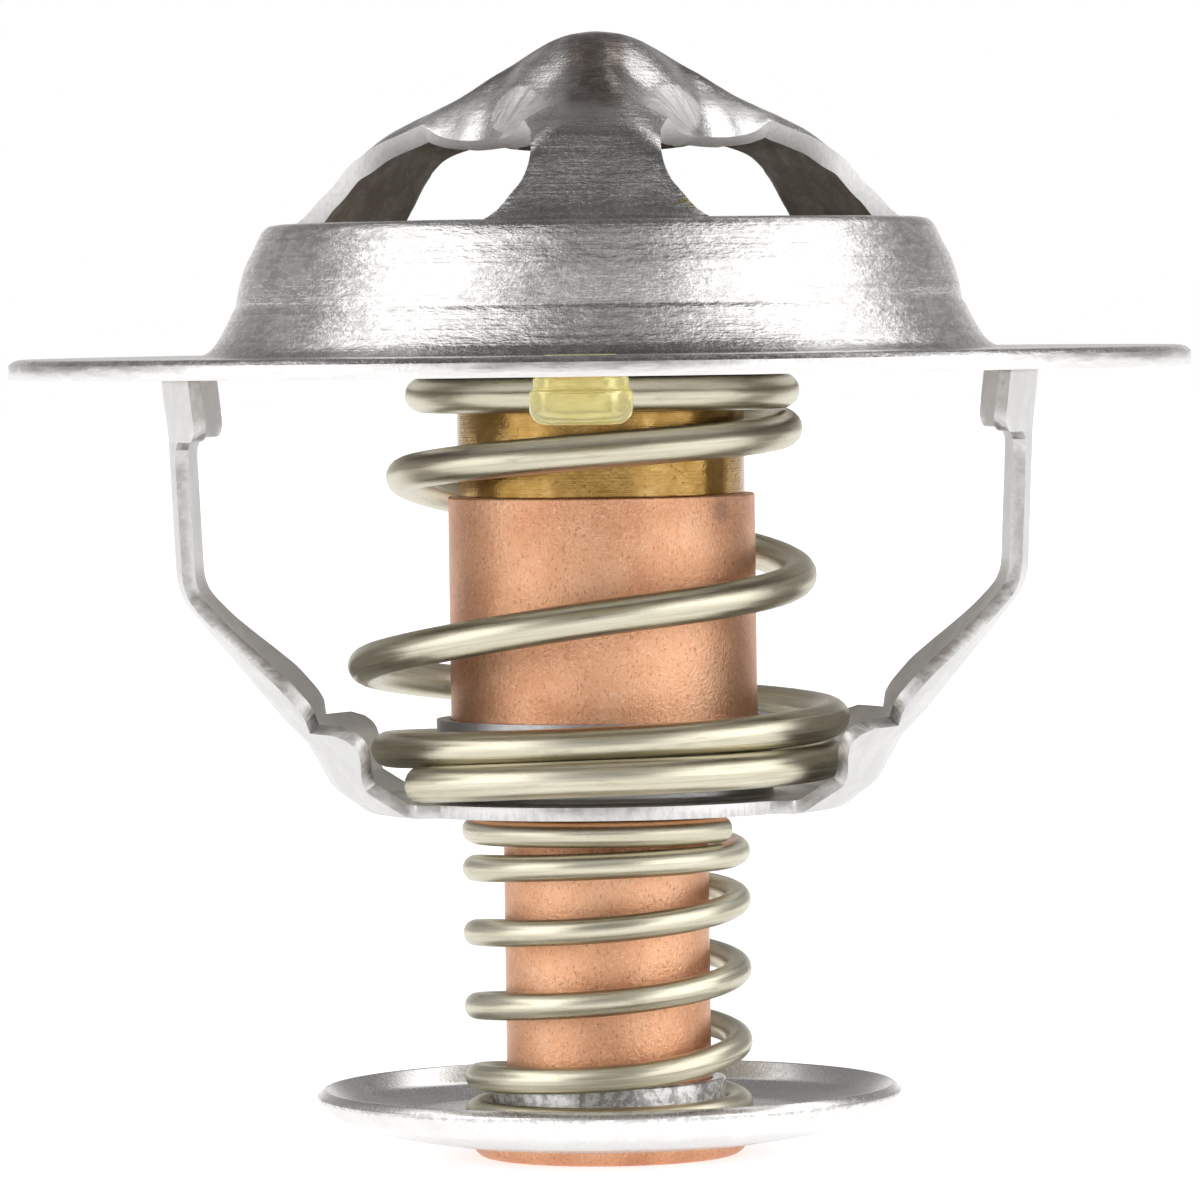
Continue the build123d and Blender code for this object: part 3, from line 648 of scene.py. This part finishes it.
def turned(name, section, skin, segments, centre):
    """Solid of revolution from a closed section, or one that starts and ends on the axis."""
    points, faces = [], []
    if section[0][0] > 0:
        section = [*section, section[0]]
    add_rings(points, faces, section, [2 * math.pi * step / segments for step in range(segments)])
    points = [(x + centre[0], y + centre[1], z) for x, y, z in points]
    piece = new_piece(name, points, faces, [skin])
    weld(piece, 0.00001)
    face_outwards(piece)
    shade(piece)
    return piece


def place(piece, body, slot, node):
    """Puts a finished piece on its body, in place of its CAD node."""
    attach(piece, body)
    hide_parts(node)


# ---- materials

steel_skin = pressed_steel("steel_skin")
steel_inside = darker_brown_steel("steel_inside")
steel_cut = cut_steel("steel_cut", (1.0, 0.995, 0.99), (0.88, 0.87, 0.86), (7.0, 7.0, 2.2), 0.6, 0.1)[0]
rim_cut = rolled_rim("rim_cut")
yoke_skin = yoke_steel("yoke_skin")
yoke_cut = cut_steel("yoke_cut", (0.76, 0.755, 0.75), (0.6, 0.595, 0.59), (1.5, 9.0, 1.5))[0]
disc_skin = disc_steel("disc_skin")
plate_skin = sheet_steel("plate_skin", (0.76, 0.75, 0.74), (0.6, 0.59, 0.58), 0.3, 0.014)[0]
wire_skin = drawn_wire("wire_skin")
copper_skin = tumbled_copper("copper_skin")
brass_skin = turned_brass("brass_skin")
piston_skin = ground_steel("piston_skin")
rubber_skin = plain_mould("rubber_skin", (0.018, 0.018, 0.019), (0.05, 0.048, 0.046), 0.6)
wax_skin = plain_mould("wax_skin", (0.62, 0.42, 0.25), (0.72, 0.55, 0.36), 0.5)
plug_skin = clear_plastic("plug_skin")


# ---- flange, cup and bridge

ACROSS = 24                 # faces across a leg
HALF_PITCH = math.radians(60)
VALLEY_R = 5.5              # inner edge of the windows, midway between two legs
VALLEY_U = VALLEY_R * math.cos(HALF_PITCH)
STRAP_HALF_WIDTH = 2.9
FOOT_HALF_WIDTH = 5.0
ARC_ANGLE = math.asin(FOOT_HALF_WIDTH / WINDOW_R)
SPREAD_START = 11.0         # where a leg starts to widen towards its foot
FOOT_START = 13.2
REAR_SPREAD = 0.25          # how much of that widening the sides towards the rear window have
CROWN_INNER, CROWN_OUTER = 3.4, 5.4     # the round crown passes into the legs between these radii

# Outside of the cup from the windows' edge down to the flange, and the rings of the flange
CUP_WALL = (
    (WINDOW_R, CUP_TOP), (14.45, CUP_TOP), (15.0, 5.93), (15.3, 5.72), (15.52, 5.36), (15.72, 4.92),
    (15.95, 4.5), (16.16, 4.05), (16.31, 3.6), (16.43, 3.15), (16.52, 2.75), (16.57, 2.4), (16.6, 2.24),
    (16.66, 2.14), (16.76, 2.0), (16.95, 1.6), (17.16, 1.2), (17.38, 0.82), (17.6, 0.5), (17.86, 0.24),
    (18.2, 0.07), (18.6, 0.01))
FLANGE_RINGS = (19.2, 20.5, 22.0, 23.5, 25.0, 26.2, 26.45, 26.65, 26.82, FLANGE_R)

# One leg's outer face, by distance from the axis: its crest, its edges and the fall between them
ridge = smooth_curve(
    (0, 1.0, 1.8, 2.8, 3.8, 4.7, 5.5, 6.2, 7.1, 8.1, 9.2, 9.9, 10.4, 10.9, 11.5, 12.5, 13.1, 13.5,
     WINDOW_R),
    (14.65, 14.56, 14.35, 13.92, 13.42, 12.98, 12.55, 12.14, 11.64, 11.17, 10.68, 10.34, 10.0, 9.48, 8.7,
     7.34, 6.58, 6.2, CUP_TOP), start_slope=0.0)
edge_height = smooth_curve(
    (0, 0.5, 1.0, 1.45, 1.75, 2.1, 2.5, 2.75, 4.0, 5.4, 6.3, 6.9, 7.4, 8.05, 8.75, 9.95, 10.7, 11.5, 12.5,
     13.1, 13.5, WINDOW_R),
    (14.65, 14.53, 14.15, 13.45, 12.9, 12.1, 10.9, 9.75, 9.7, 9.8, 10.0, 10.28, 10.48, 10.3, 10.08, 9.67,
     9.25, 8.7, 7.34, 6.58, 6.2, CUP_TOP), start_slope=0.0)
half_width = smooth_curve(
    (2.75, 3.6, 4.6, 5.4, 6.6, 7.8, 8.5, 9.2, SPREAD_START, 11.6, 12.1, 12.6, 13.0, 13.29),
    (4.763, 4.46, 4.3, 3.95, 3.5, 3.14, 3.02, STRAP_HALF_WIDTH, STRAP_HALF_WIDTH, 2.97, 3.2, 3.72, 4.35,
     FOOT_HALF_WIDTH))
crest_width = smooth_curve((0, 0.5, 1.0, 1.6, 3.2, 4.6, 7.0, 8.0, 9.3, 14.2),
                           (0.3, 0.8, 1.25, 1.45, 1.5, 1.55, 1.75, 2.2, 4.2, 8.0))
lip_share = smooth_curve((0, 1.6, 2.75, 6.9, 9.0, 14.2), (0.1, 0.4, 0.68, 0.65, 0.5, 0.5))


def crown_height(radius, angle):
    """Height of the crown, at an angle of up to 60 degrees from the nearest leg."""
    reach = radius / crest_width(radius) / 1.5
    drop = 1 - math.exp(-(reach * math.sin(1.5 * angle)) ** 3)
    drop /= max(1 - math.exp(-reach ** 3), 1e-9)
    return ridge(radius) + (edge_height(radius / 2) - ridge(radius)) * drop


def leg_point(along, across, rear):
    """Point of one leg's outer face, from its row and its place across it, -1 to 1.
    rear is the side, if any, that faces the rear window."""
    edge_u = along
    if along > SPREAD_START:
        share = (along - SPREAD_START) / (WINDOW_R - SPREAD_START)
        edge_u = SPREAD_START + share * (WINDOW_R * math.cos(ARC_ANGLE) - SPREAD_START)
    width = edge_u * math.tan(HALF_PITCH) if edge_u < VALLEY_U else half_width(edge_u)
    if rear * across > 0 and SPREAD_START < along < 14.0:
        width = STRAP_HALF_WIDTH + REAR_SPREAD * (width - STRAP_HALF_WIDTH)
    t = width * across
    u = along + (edge_u - along) * across * across
    if along >= WINDOW_R - 1e-6:
        u = math.sqrt(WINDOW_R ** 2 - t ** 2)
    crest, lip = crest_width(u), lip_share(u)
    drop = (1 - math.exp(-abs(t / crest) ** 3)) / max(1 - math.exp(-(width / crest) ** 3), 1e-9)
    drop = (1 - lip) * drop + lip * abs(across) ** 3.5
    foot = min(max((along - FOOT_START) / (WINDOW_R - FOOT_START), 0.0), 1.0)
    edge = edge_height(edge_u) + (CUP_TOP - edge_height(edge_u)) * foot * foot
    z = ridge(along) + (edge - ridge(along)) * drop
    radius = math.hypot(u, t)
    if radius < CROWN_OUTER:
        outer = max((radius - CROWN_INNER) / (CROWN_OUTER - CROWN_INNER), 0.0)
        outer = outer * outer * (3 - 2 * outer)
        crown = crown_height(radius, min(math.atan2(abs(t), u), HALF_PITCH))
        z = outer * z + (1 - outer) * crown
    return u, t, z


def make_flange_bridge():
    rows = [0.0, 0.14, 0.3, 0.5, 0.75, 1.0, 1.3, 1.65, 2.0, 2.35, 2.75]
    rows += list(np.arange(3.05, 14.0, 0.22)) + [14.08, WINDOW_R]
    window_steps = 44
    points, faces = [], []
    for turn, rear in zip(LEG_TURNS, (0, 1, -1)):
        cos, sin = math.cos(math.radians(turn)), math.sin(math.radians(turn))
        start = len(points)
        for along in rows:
            for column in range(ACROSS + 1):
                u, t, z = leg_point(along, 2 * column / ACROSS - 1, rear)
                points.append((u * cos - t * sin, u * sin + t * cos, z))
        faces += quads(start, len(rows), ACROSS, closed=False)
    wall = np.array([*CUP_WALL, *((ring, 0.0) for ring in FLANGE_RINGS)])
    lengths = np.concatenate([[0], np.cumsum(np.hypot(*np.diff(wall, axis=0).T))])
    radius_at = smooth_curve(lengths, wall[:, 0])
    height_at = smooth_curve(lengths, wall[:, 1])
    stations = sorted({*lengths.tolist(), *np.arange(0, lengths[len(CUP_WALL) - 1], 0.16).tolist()})
    angles = []
    for turn in LEG_TURNS:
        middle = math.radians(turn)
        for column in range(ACROSS):
            angles.append(middle + math.asin((2 * column / ACROSS - 1) * math.sin(ARC_ANGLE)))
        gap = 2 * (HALF_PITCH - ARC_ANGLE)
        angles += [middle + ARC_ANGLE + gap * step / window_steps for step in range(window_steps)]
    add_rings(points, faces, [(radius_at(station), height_at(station)) for station in stations], angles)
    piece = new_piece("flange_bridge_skin", points, faces, [steel_skin, steel_inside, steel_cut, rim_cut])
    weld(piece, 0.002)
    face_one_way(piece, 1)
    thicken(piece, FLANGE_SHEET, 0.09)
    roll_rim(piece)
    return piece


def roll_rim(piece, reach=0.7, fall=0.26):
    """Rounds the upper edge of the blanked rim and gives its cut its own material, with painted shade."""
    for vert in piece.data.vertices:
        inside = FLANGE_R - math.hypot(vert.co.x, vert.co.y) / MM
        if inside < reach and vert.co.z > -0.5 * FLANGE_SHEET * MM:
            vert.co.z -= fall * MM * ((reach - inside) / reach) ** 3
    for face in piece.data.polygons:
        if face.material_index == 2 and math.hypot(face.center.x, face.center.y) > (FLANGE_R - 1) * MM:
            face.material_index = 3
    piece.data.update()


# ---- lower yoke

INNER_COLUMNS, WING_COLUMNS = 14, 4
HEADS_LOW, WINGS_HIGH = -3.8, -17.05       # lower edge of the heads and upper edge of the pan's wings
HEAD_STRAP_WIDTH, PAN_STRAP_WIDTH = 5.1, 5.0
PAN_FLOOR_R = 10.9

# Outside of one leg, from its head down to the pan's floor, and the radii of its bends
YOKE_LINE = ((20.05, YOKE_TOP), (19.75, HEADS_LOW), (19.45, -10.8), (14.75, -16.5), (13.6, -17.7),
             (12.5, -19.7), (PAN_FLOOR_R, PAN_FLOOR), (PAN_DISC_R, PAN_FLOOR))
YOKE_BENDS = (0, 2.0, 3.0, 0.9, 0.9, 1.0, 1.0, 0)

# Half widths by height
strap_width = smooth_curve(
    (WINGS_HIGH, -16.8, -16.4, -15.8, -15.0, -14.1, -13.2, -12.2, -10.8, -4.7, -4.45, -4.2, -4.0,
     HEADS_LOW),
    (PAN_STRAP_WIDTH, 5.5, 6.2, 6.55, 6.6, 6.15, 5.4, 4.6, 4.2, 4.2, 4.24, 4.36, 4.6, HEAD_STRAP_WIDTH))
wing_width = smooth_curve((PAN_FLOOR, -19.7, -18.0, -17.4, -17.15, WINGS_HIGH),
                          (6.4, 6.4, 7.7, 7.95, 7.75, 7.3))
head_width = smooth_curve((HEADS_LOW, -3.72, -3.5, -3.2, -2.9, YOKE_TOP),
                          (7.0, 7.35, 7.62, 7.77, 7.8, 7.8))


def yoke_widths(r, z):
    """Half widths of the strap and of the wings beside it, at one point of the section."""
    if z > HEADS_LOW - 1e-6:
        return HEAD_STRAP_WIDTH, head_width(z)
    if z > WINGS_HIGH + 1e-6:
        return strap_width(z), None
    return PAN_STRAP_WIDTH - 0.3 * max(PAN_FLOOR_R - r, 0.0), wing_width(z)


def make_lower_yoke():
    line = rounded(YOKE_LINE, YOKE_BENDS)
    places = np.array(line)
    lengths = np.concatenate([[0], np.cumsum(np.hypot(*np.diff(places, axis=0).T))])
    marks = {*lengths.tolist(), *np.arange(0, lengths[-1], 0.3).tolist()}
    for level in (HEADS_LOW, WINGS_HIGH):
        marks.add(float(np.interp(-level, -places[:, 1], lengths)))
    stations = sorted(marks)
    stations = [m for index, m in enumerate(stations) if index == 0 or m - stations[index - 1] > 0.02]
    rows = [(float(np.interp(m, lengths, places[:, 0])), float(np.interp(m, lengths, places[:, 1])))
            for m in stations]
    heads = min(range(len(rows)), key=lambda i: abs(rows[i][1] - HEADS_LOW))
    wings = min(range(len(rows)), key=lambda i: abs(rows[i][1] - WINGS_HIGH))
    columns = WING_COLUMNS * 2 + INNER_COLUMNS
    points, faces = [], []
    for side in (1, -1):
        start = len(points)
        for index, (r, z) in enumerate(rows):
            level = HEADS_LOW if index == heads else WINGS_HIGH - 1e-3 if index == wings else z
            inner, outer = yoke_widths(r, level)
            outer = outer or inner
            across = [-outer + (outer - inner) * c / WING_COLUMNS for c in range(WING_COLUMNS)]
            across += [inner * (2 * c / INNER_COLUMNS - 1) for c in range(INNER_COLUMNS + 1)]
            across += [inner + (outer - inner) * c / WING_COLUMNS for c in range(1, WING_COLUMNS + 1)]
            points += [(side * math.sqrt(r * r - y * y), side * y, z) for y in across]
        last_angles = [math.asin(y / PAN_DISC_R) for y in across]
        for index, face in enumerate(quads(start, len(rows), columns, closed=False)):
            row, column = divmod(index, columns)
            in_strap = WING_COLUMNS <= column < WING_COLUMNS + INNER_COLUMNS
            if in_strap or row < heads or row >= wings:
                faces.append(face)
    between = 30
    span = math.pi - 2 * last_angles[-1]
    angles = []
    for base in (0.0, math.pi):
        angles += [base + angle for angle in last_angles[:-1]]
        angles += [base + last_angles[-1] + span * step / between for step in range(between)]
    collar = rounded([(PAN_DISC_R, PAN_FLOOR), (COLLAR_R, PAN_FLOOR), (COLLAR_R, COLLAR_TOP)],
                     [0, 0.9, 0])
    collar.insert(1, (9.0, PAN_FLOOR))
    add_rings(points, faces, collar, angles)
    piece = new_piece("lower_yoke_skin", points, faces, [yoke_skin, yoke_skin, yoke_cut])
    weld(piece, 0.003)
    face_one_way(piece, -1)
    thicken(piece, YOKE_SHEET, 0.08)
    return piece


# ---- springs

RING = 20
STEPS_PER_TURN = 56


def make_spring(name, top, bottom, wire, radii, drops, start, turns, travel):
    """Right-handed spring of round wire with cut ends, and how far each ring of it follows the body below.
    At the end of the travel the turns lie evenly, and each ring moves there in proportion."""
    burr, seat_gap = 0.1, 0.02
    quarters = np.arange(len(drops)) / 4
    radius_at = smooth_curve(quarters, radii)
    drop_at = smooth_curve(quarters, drops)
    count = math.ceil(turns * STEPS_PER_TURN)
    upper, lower = top - wire / 2 - seat_gap, bottom + wire / 2 + seat_gap
    height = upper - lower
    centres, shares = [], []
    for step in range(count + 1):
        done = step / count
        turn = start / 360 + turns * done
        angle = math.radians(-360 * turn)
        radius, drop = radius_at(turn), drop_at(turn) * height
        centres.append((radius * math.cos(angle), radius * math.sin(angle), upper - drop))
        shares.append(min(max((drop - (height - travel) * done) / travel, 0.0), 1.0))
    centres = np.array(centres)
    tangents = np.gradient(centres, axis=0)
    tangents /= np.linalg.norm(tangents, axis=1)[:, None]
    run = np.concatenate([[0], np.cumsum(np.linalg.norm(np.diff(centres, axis=0), axis=1))])
    points, places, weights = [], [], []

    def ring(centre, tangent, radius, along, share):
        outward = np.array([centre[0], centre[1], 0.0])
        outward /= np.linalg.norm(outward)
        upward = np.cross(tangent, outward)
        upward /= np.linalg.norm(upward)
        sideways = np.cross(upward, tangent)
        for number in range(RING):
            angle = 2 * math.pi * number / RING
            points.append(centre + radius * (math.cos(angle) * sideways + math.sin(angle) * upward))
            places.append((along, angle * wire / 2))
            weights.append(share)

    ring(centres[0], tangents[0], wire / 2 - burr, 0.0, shares[0])
    for index in range(count + 1):
        inset = burr * ((index == 0) - (index == count))
        centre = centres[index] + inset * tangents[index]
        ring(centre, tangents[index], wire / 2, run[index], shares[index])
    ring(centres[-1], tangents[-1], wire / 2 - burr, run[-1], shares[-1])
    rings = count + 3
    faces = quads(0, rings, RING)
    seam = math.pi * wire
    seams = ([(0.0,) * 4] * (RING - 1) + [(0.0, seam, seam, 0.0)]) * (rings - 1)
    for end in (0, rings - 1):
        faces.append(tuple(range(end * RING, (end + 1) * RING)))
        seams.append((0.0,) * RING)
    piece = new_piece(name, points, faces, [wire_skin], sharp=40.0)
    layer = piece.data.uv_layers.new(name="wire")
    for face, offsets in zip(piece.data.polygons, seams):
        for loop, seam in zip(face.loop_indices, offsets):
            along, around = places[piece.data.loops[loop].vertex_index]
            layer.data[loop].uv = (along, around + seam)
    face_outwards(piece)
    return piece, weights


def dress_spring(node, upper_body, lower_body, top, bottom, *shape):
    """Makes a spring's wire between two heights, in place of its CAD node."""
    piece, shares = make_spring(node + "_wire", top, bottom, *shape)
    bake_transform(piece)
    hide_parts(node)


# ---- turned and pressed round pieces

def dress(node, body, slot, skin, section, segments=144, centre=(0.0, 0.0)):
    """Turns a section into the piece that takes a CAD node's place."""
    place(turned(node + "_skin", section, skin, segments, centre), body, slot, node)


def dress_element():
    mouth_floor, bore_floor = -9.3, -20.3
    dress("element_cup", "element", "copper", copper_skin, rounded(
        [(0, HEAD_UNDERSIDE), (HEAD_R, HEAD_UNDERSIDE), (HEAD_R, HEAD_TOP), (STEM_R, HEAD_TOP),
         (STEM_R, ELEMENT_SHOULDER), (ELEMENT_R, ELEMENT_SHOULDER), (ELEMENT_R, ELEMENT_TOP),
         (GUIDE_R, ELEMENT_TOP), (GUIDE_R, mouth_floor), (ELEMENT_BORE_R, mouth_floor),
         (ELEMENT_BORE_R, bore_floor), (STEM_BORE_R, bore_floor), (STEM_BORE_R, STEM_FLOOR),
         (0, STEM_FLOOR)],
        [0, 0.7, 0.12, 0.05, 0.3, 1.1, 0.14, 0.08, 0, 0, 0.3, 0.2, 0.2, 0]))
    clinch_r, clinch_bottom, clinch_top = 6.1, -0.18, 0.3
    nose_r, nose_foot, nose_edge, nose_top_r = 4.2, 1.25, 3.5, 3.5
    dress("guide_body", "element", "brass", brass_skin, rounded(
        [(PIN_BORE_R, GUIDE_BOTTOM), (GUIDE_R, GUIDE_BOTTOM), (GUIDE_R, PLATE_BOTTOM),
         (GUIDE_NECK_R, PLATE_BOTTOM), (GUIDE_NECK_R, clinch_bottom), (clinch_r, clinch_bottom),
         (clinch_r, clinch_top), (nose_r, nose_foot), (nose_r, nose_edge), (nose_top_r, GUIDE_TOP),
         (WIPER_R, GUIDE_TOP), (WIPER_R, WIPER_BOTTOM), (PIN_BORE_R, WIPER_BOTTOM)],
        [0.05, 0.1, 0.08, 0, 0, 0.1, 0.2, 0.3, 0.2, 0.12, 0.05, 0.1, 0.05], closed=True))
    dress("piston_seal", "element", "seal_rubber", rubber_skin, rounded(
        [(PIN_BORE_R, WIPER_BOTTOM), (WIPER_R, WIPER_BOTTOM), (WIPER_R, WIPER_TOP),
         (PIN_BORE_R, WIPER_TOP)],
        [0.1, 0.1, 0.3, 0.3], closed=True), segments=96)
    foot_r, foot_edge, cone_foot, tip_r = 1.55, -17.55, 11.14, 0.7
    dress("piston_pin", "frame", "polished_steel", piston_skin, rounded(
        [(0, PIN_BOTTOM), (foot_r, PIN_BOTTOM), (PIN_R, foot_edge), (PIN_R, cone_foot), (tip_r, PIN_TOP),
         (0, PIN_TOP)], [0, 0.05, 0.05, 0.3, 0.25, 0]), segments=72)


def dress_valves():
    rim_bottom = 0.6
    dress("valve_plate", "element", "stainless", plate_skin, sheet_section(
        [(GUIDE_NECK_R, PLATE_BOTTOM), (10.8, PLATE_BOTTOM), (12.6, rim_bottom), (15.18, rim_bottom)],
        [0.8, 1.6], PLATE_SHEET))
    bottom, top, top_r = 0.3, 1.7, 15.7
    dress("valve_seal", "element", "seal_rubber", rubber_skin, rounded(
        [(SEAL_INNER_R, bottom), (SEAL_OUTER_R, bottom), (top_r, top), (SEAL_INNER_R, top)],
        [0.1, 0.25, 0.25, 0.1], closed=True))
    collar_top, rim_top = -33.25, -33.95
    dress("bypass_disc", "bypass", "stainless", disc_skin, sheet_section(
        [(DISC_BORE_R, collar_top), (DISC_BORE_R, HEAD_TOP), (8.2, HEAD_TOP), (10.5, -35.55),
         (12.5, -34.95), (DISC_R, rim_top)],
        [0.9, 1.4, 1.4, 1.4], DISC_SHEET, edge=0.14), segments=180)


def dress_vent_plug():
    bottom, lip, groove_top, top, groove_r, hole_r = -3.0, -1.5, -0.92, 0.03, 2.08, 1.6
    dress("vent_plug", "frame", "amber_plastic", plug_skin, rounded(
        [(0, bottom), (PLUG_R, bottom), (PLUG_R, lip), (groove_r, lip), (groove_r, groove_top),
         (hole_r, groove_top), (hole_r, top), (0, top)],
        [0, 0.7, 0.16, 0.08, 0.15, 0, 0.1, 0]), segments=72, centre=(PLUG_X, PLUG_Y))


# ---- the object

place(make_flange_bridge(), "frame", "stainless", "flange_bridge")
place(make_lower_yoke(), "frame", "stainless", "lower_yoke")
dress_spring("main_spring", "element", "frame", PLATE_BOTTOM, PAN_FLOOR + YOKE_SHEET, MAIN_WIRE, MAIN_RADII,
             MAIN_DROPS, MAIN_START, MAIN_TURNS, MAIN_TRAVEL)
dress_spring("bypass_spring", "element", "bypass", ELEMENT_SHOULDER, HEAD_TOP + DISC_SHEET, BYPASS_WIRE,
             (BYPASS_RADIUS,) * len(BYPASS_DROPS), BYPASS_DROPS, BYPASS_START, BYPASS_TURNS, BYPASS_TRAVEL)
dress_element()
dress_valves()
dress_vent_plug()
for hidden, material in (("rubber_boot", rubber_skin), ("wax_charge", wax_skin)):
    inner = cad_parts[hidden]
    inner.data.materials.clear()
    inner.data.materials.append(material)


# ---- floor, light and camera

def make_floor():
    """Pale light table. The camera, mirrors and clear pieces see its glow, and it keeps a faint shadow."""
    mesh = bpy.data.meshes.new("floor")
    reach, z = 3.0, HEAD_UNDERSIDE * MM
    corners = [(-reach, -reach, z), (reach, -reach, z), (reach, reach, z), (-reach, reach, z)]
    mesh.from_pydata(corners, [], [(0, 1, 2, 3)])
    floor = bpy.data.objects.new("floor", mesh)
    bpy.context.scene.collection.objects.link(floor)
    material = bpy.data.materials.new("floor")
    material.use_nodes = True
    nodes = Nodes(material.node_tree)
    output = nodes.add("ShaderNodeOutputMaterial")
    matt = nodes.add("ShaderNodeBsdfDiffuse", Color=(0.82, 0.82, 0.82, 1.0))
    path = nodes.add("ShaderNodeLightPath")
    mirrored = nodes.most(path.outputs["Is Glossy Ray"], path.outputs["Is Transmission Ray"])
    strength = nodes.plus(nodes.times(path.outputs["Is Camera Ray"], 0.66), nodes.times(mirrored, 0.56))
    glow = nodes.add("ShaderNodeEmission", Color=(1.0, 1.0, 1.0, 1.0), Strength=strength)
    both = nodes.add("ShaderNodeAddShader")
    nodes.feed(both, 0, matt.outputs[0])
    nodes.feed(both, 1, glow.outputs[0])
    nodes.tree.links.new(both.outputs[0], output.inputs["Surface"])
    mesh.materials.append(material)


def make_world():
    """Two large soft boxes in front, one each side, in a grey room with a white wall behind."""
    world = bpy.data.worlds.new("studio")
    world.use_nodes = True
    bpy.context.scene.world = world
    nodes = Nodes(world.node_tree)
    output = nodes.add("ShaderNodeOutputWorld")
    x, y, height = nodes.parts(nodes.add("ShaderNodeTexCoord").outputs["Generated"])
    toward = nodes.times(y, -1.0)           # the camera's side; turn is 0 there and 1 behind
    turn = nodes.math("DIVIDE", nodes.math("ARCTAN2", nodes.math("ABSOLUTE", x), toward), math.pi)

    room = nodes.ramp(turn, (0.0, 0.4), (0.5, 0.42), (0.7, 0.37), (0.86, 0.38))
    dim_behind = nodes.times(nodes.remap(turn, 0.7, 0.84, 0.0, 0.16),
                             nodes.remap(height, 0.25, 0.5))
    dim_above = nodes.remap(height, 0.72, 0.93, 0.0, 0.26)
    wall = nodes.times(nodes.remap(turn, 0.8, 0.93, 0.0, 0.64), nodes.remap(height, 0.06, 0.28, 1.0, 0.0))
    level = nodes.plus(nodes.minus(room, nodes.most(dim_behind, dim_above)), wall)

    box_strength, end_softness = 1.6, 0.1
    reach_back = nodes.remap(height, 0.44, 0.62, 0.0, 0.27)
    left_foot = nodes.remap(height, 0.1, 0.35, 0.25, 0.0)
    right_foot = nodes.remap(height, 0.3, 0.55, 0.3, 0.0)
    boxes = 0.0
    for around, inner, outer in ((-57.0, 0.24, 0.42), (72.0, 0.3, 0.48)):
        side = math.copysign(1.0, around)
        sin, cos = math.sin(math.radians(around)), math.cos(math.radians(around))
        ahead = nodes.plus(nodes.times(x, sin), nodes.times(toward, cos))
        behind = nodes.minus(nodes.times(x, side * cos), nodes.times(toward, side * sin))
        before = nodes.times(behind, -1.0)
        if side < 0:
            behind = nodes.minus(behind, left_foot)
        else:
            before = nodes.minus(before, right_foot)
        beyond = nodes.most(nodes.minus(behind, reach_back), before)
        box = nodes.times(nodes.remap(beyond, inner, outer, 1.0, 0.0),
                          nodes.remap(ahead, -end_softness, end_softness))
        boxes = nodes.most(boxes, box)
    boxes = nodes.times(boxes, nodes.remap(height, 0.76, 0.9, 1.0, 0.0))
    level = nodes.plus(level, nodes.times(boxes, box_strength))
    tint = nodes.mix(boxes, (1.0, 0.975, 0.955), (1.0, 0.995, 0.985))
    studio = nodes.add("ShaderNodeBackground", Color=tint, Strength=level)
    white = nodes.add("ShaderNodeBackground", Color=(1.0, 1.0, 1.0, 1.0), Strength=1.0)
    path = nodes.add("ShaderNodeLightPath")
    chosen = nodes.add("ShaderNodeMixShader")
    nodes.feed(chosen, 0, path.outputs["Is Camera Ray"])
    nodes.feed(chosen, 1, studio.outputs[0])
    nodes.feed(chosen, 2, white.outputs[0])
    nodes.tree.links.new(chosen.outputs[0], output.inputs["Surface"])


def make_camera():
    """Camera at the photograph's angle, in front of the leg on the -Y side and just above the flange."""
    distance, around, height, aim_x = 385.0, math.radians(-89.8), 2.0, -0.13
    pitch, roll, sensor = math.radians(1.986), math.radians(-0.78), 36.0
    camera = bpy.data.objects.new("camera", bpy.data.cameras.new("camera"))
    bpy.context.scene.collection.objects.link(camera)
    position = Vector((distance * math.cos(around), distance * math.sin(around), height))
    aim = Vector((aim_x, 0.0, height - distance * math.tan(pitch)))
    turn = (aim - position).to_track_quat("-Z", "Y").to_matrix().to_4x4()
    camera.matrix_world = Matrix.Translation(position * MM) @ turn @ Matrix.Rotation(roll, 4, "Z")
    camera.data.sensor_width = sensor
    camera.data.lens = sensor * FOCAL_PIXELS / PHOTO_PIXELS
    camera.data.clip_start = 0.01
    camera.data.clip_end = 20.0
    bpy.context.scene.camera = camera


make_floor()
make_world()
make_camera()
bpy.context.scene.view_settings.view_transform = "Standard"
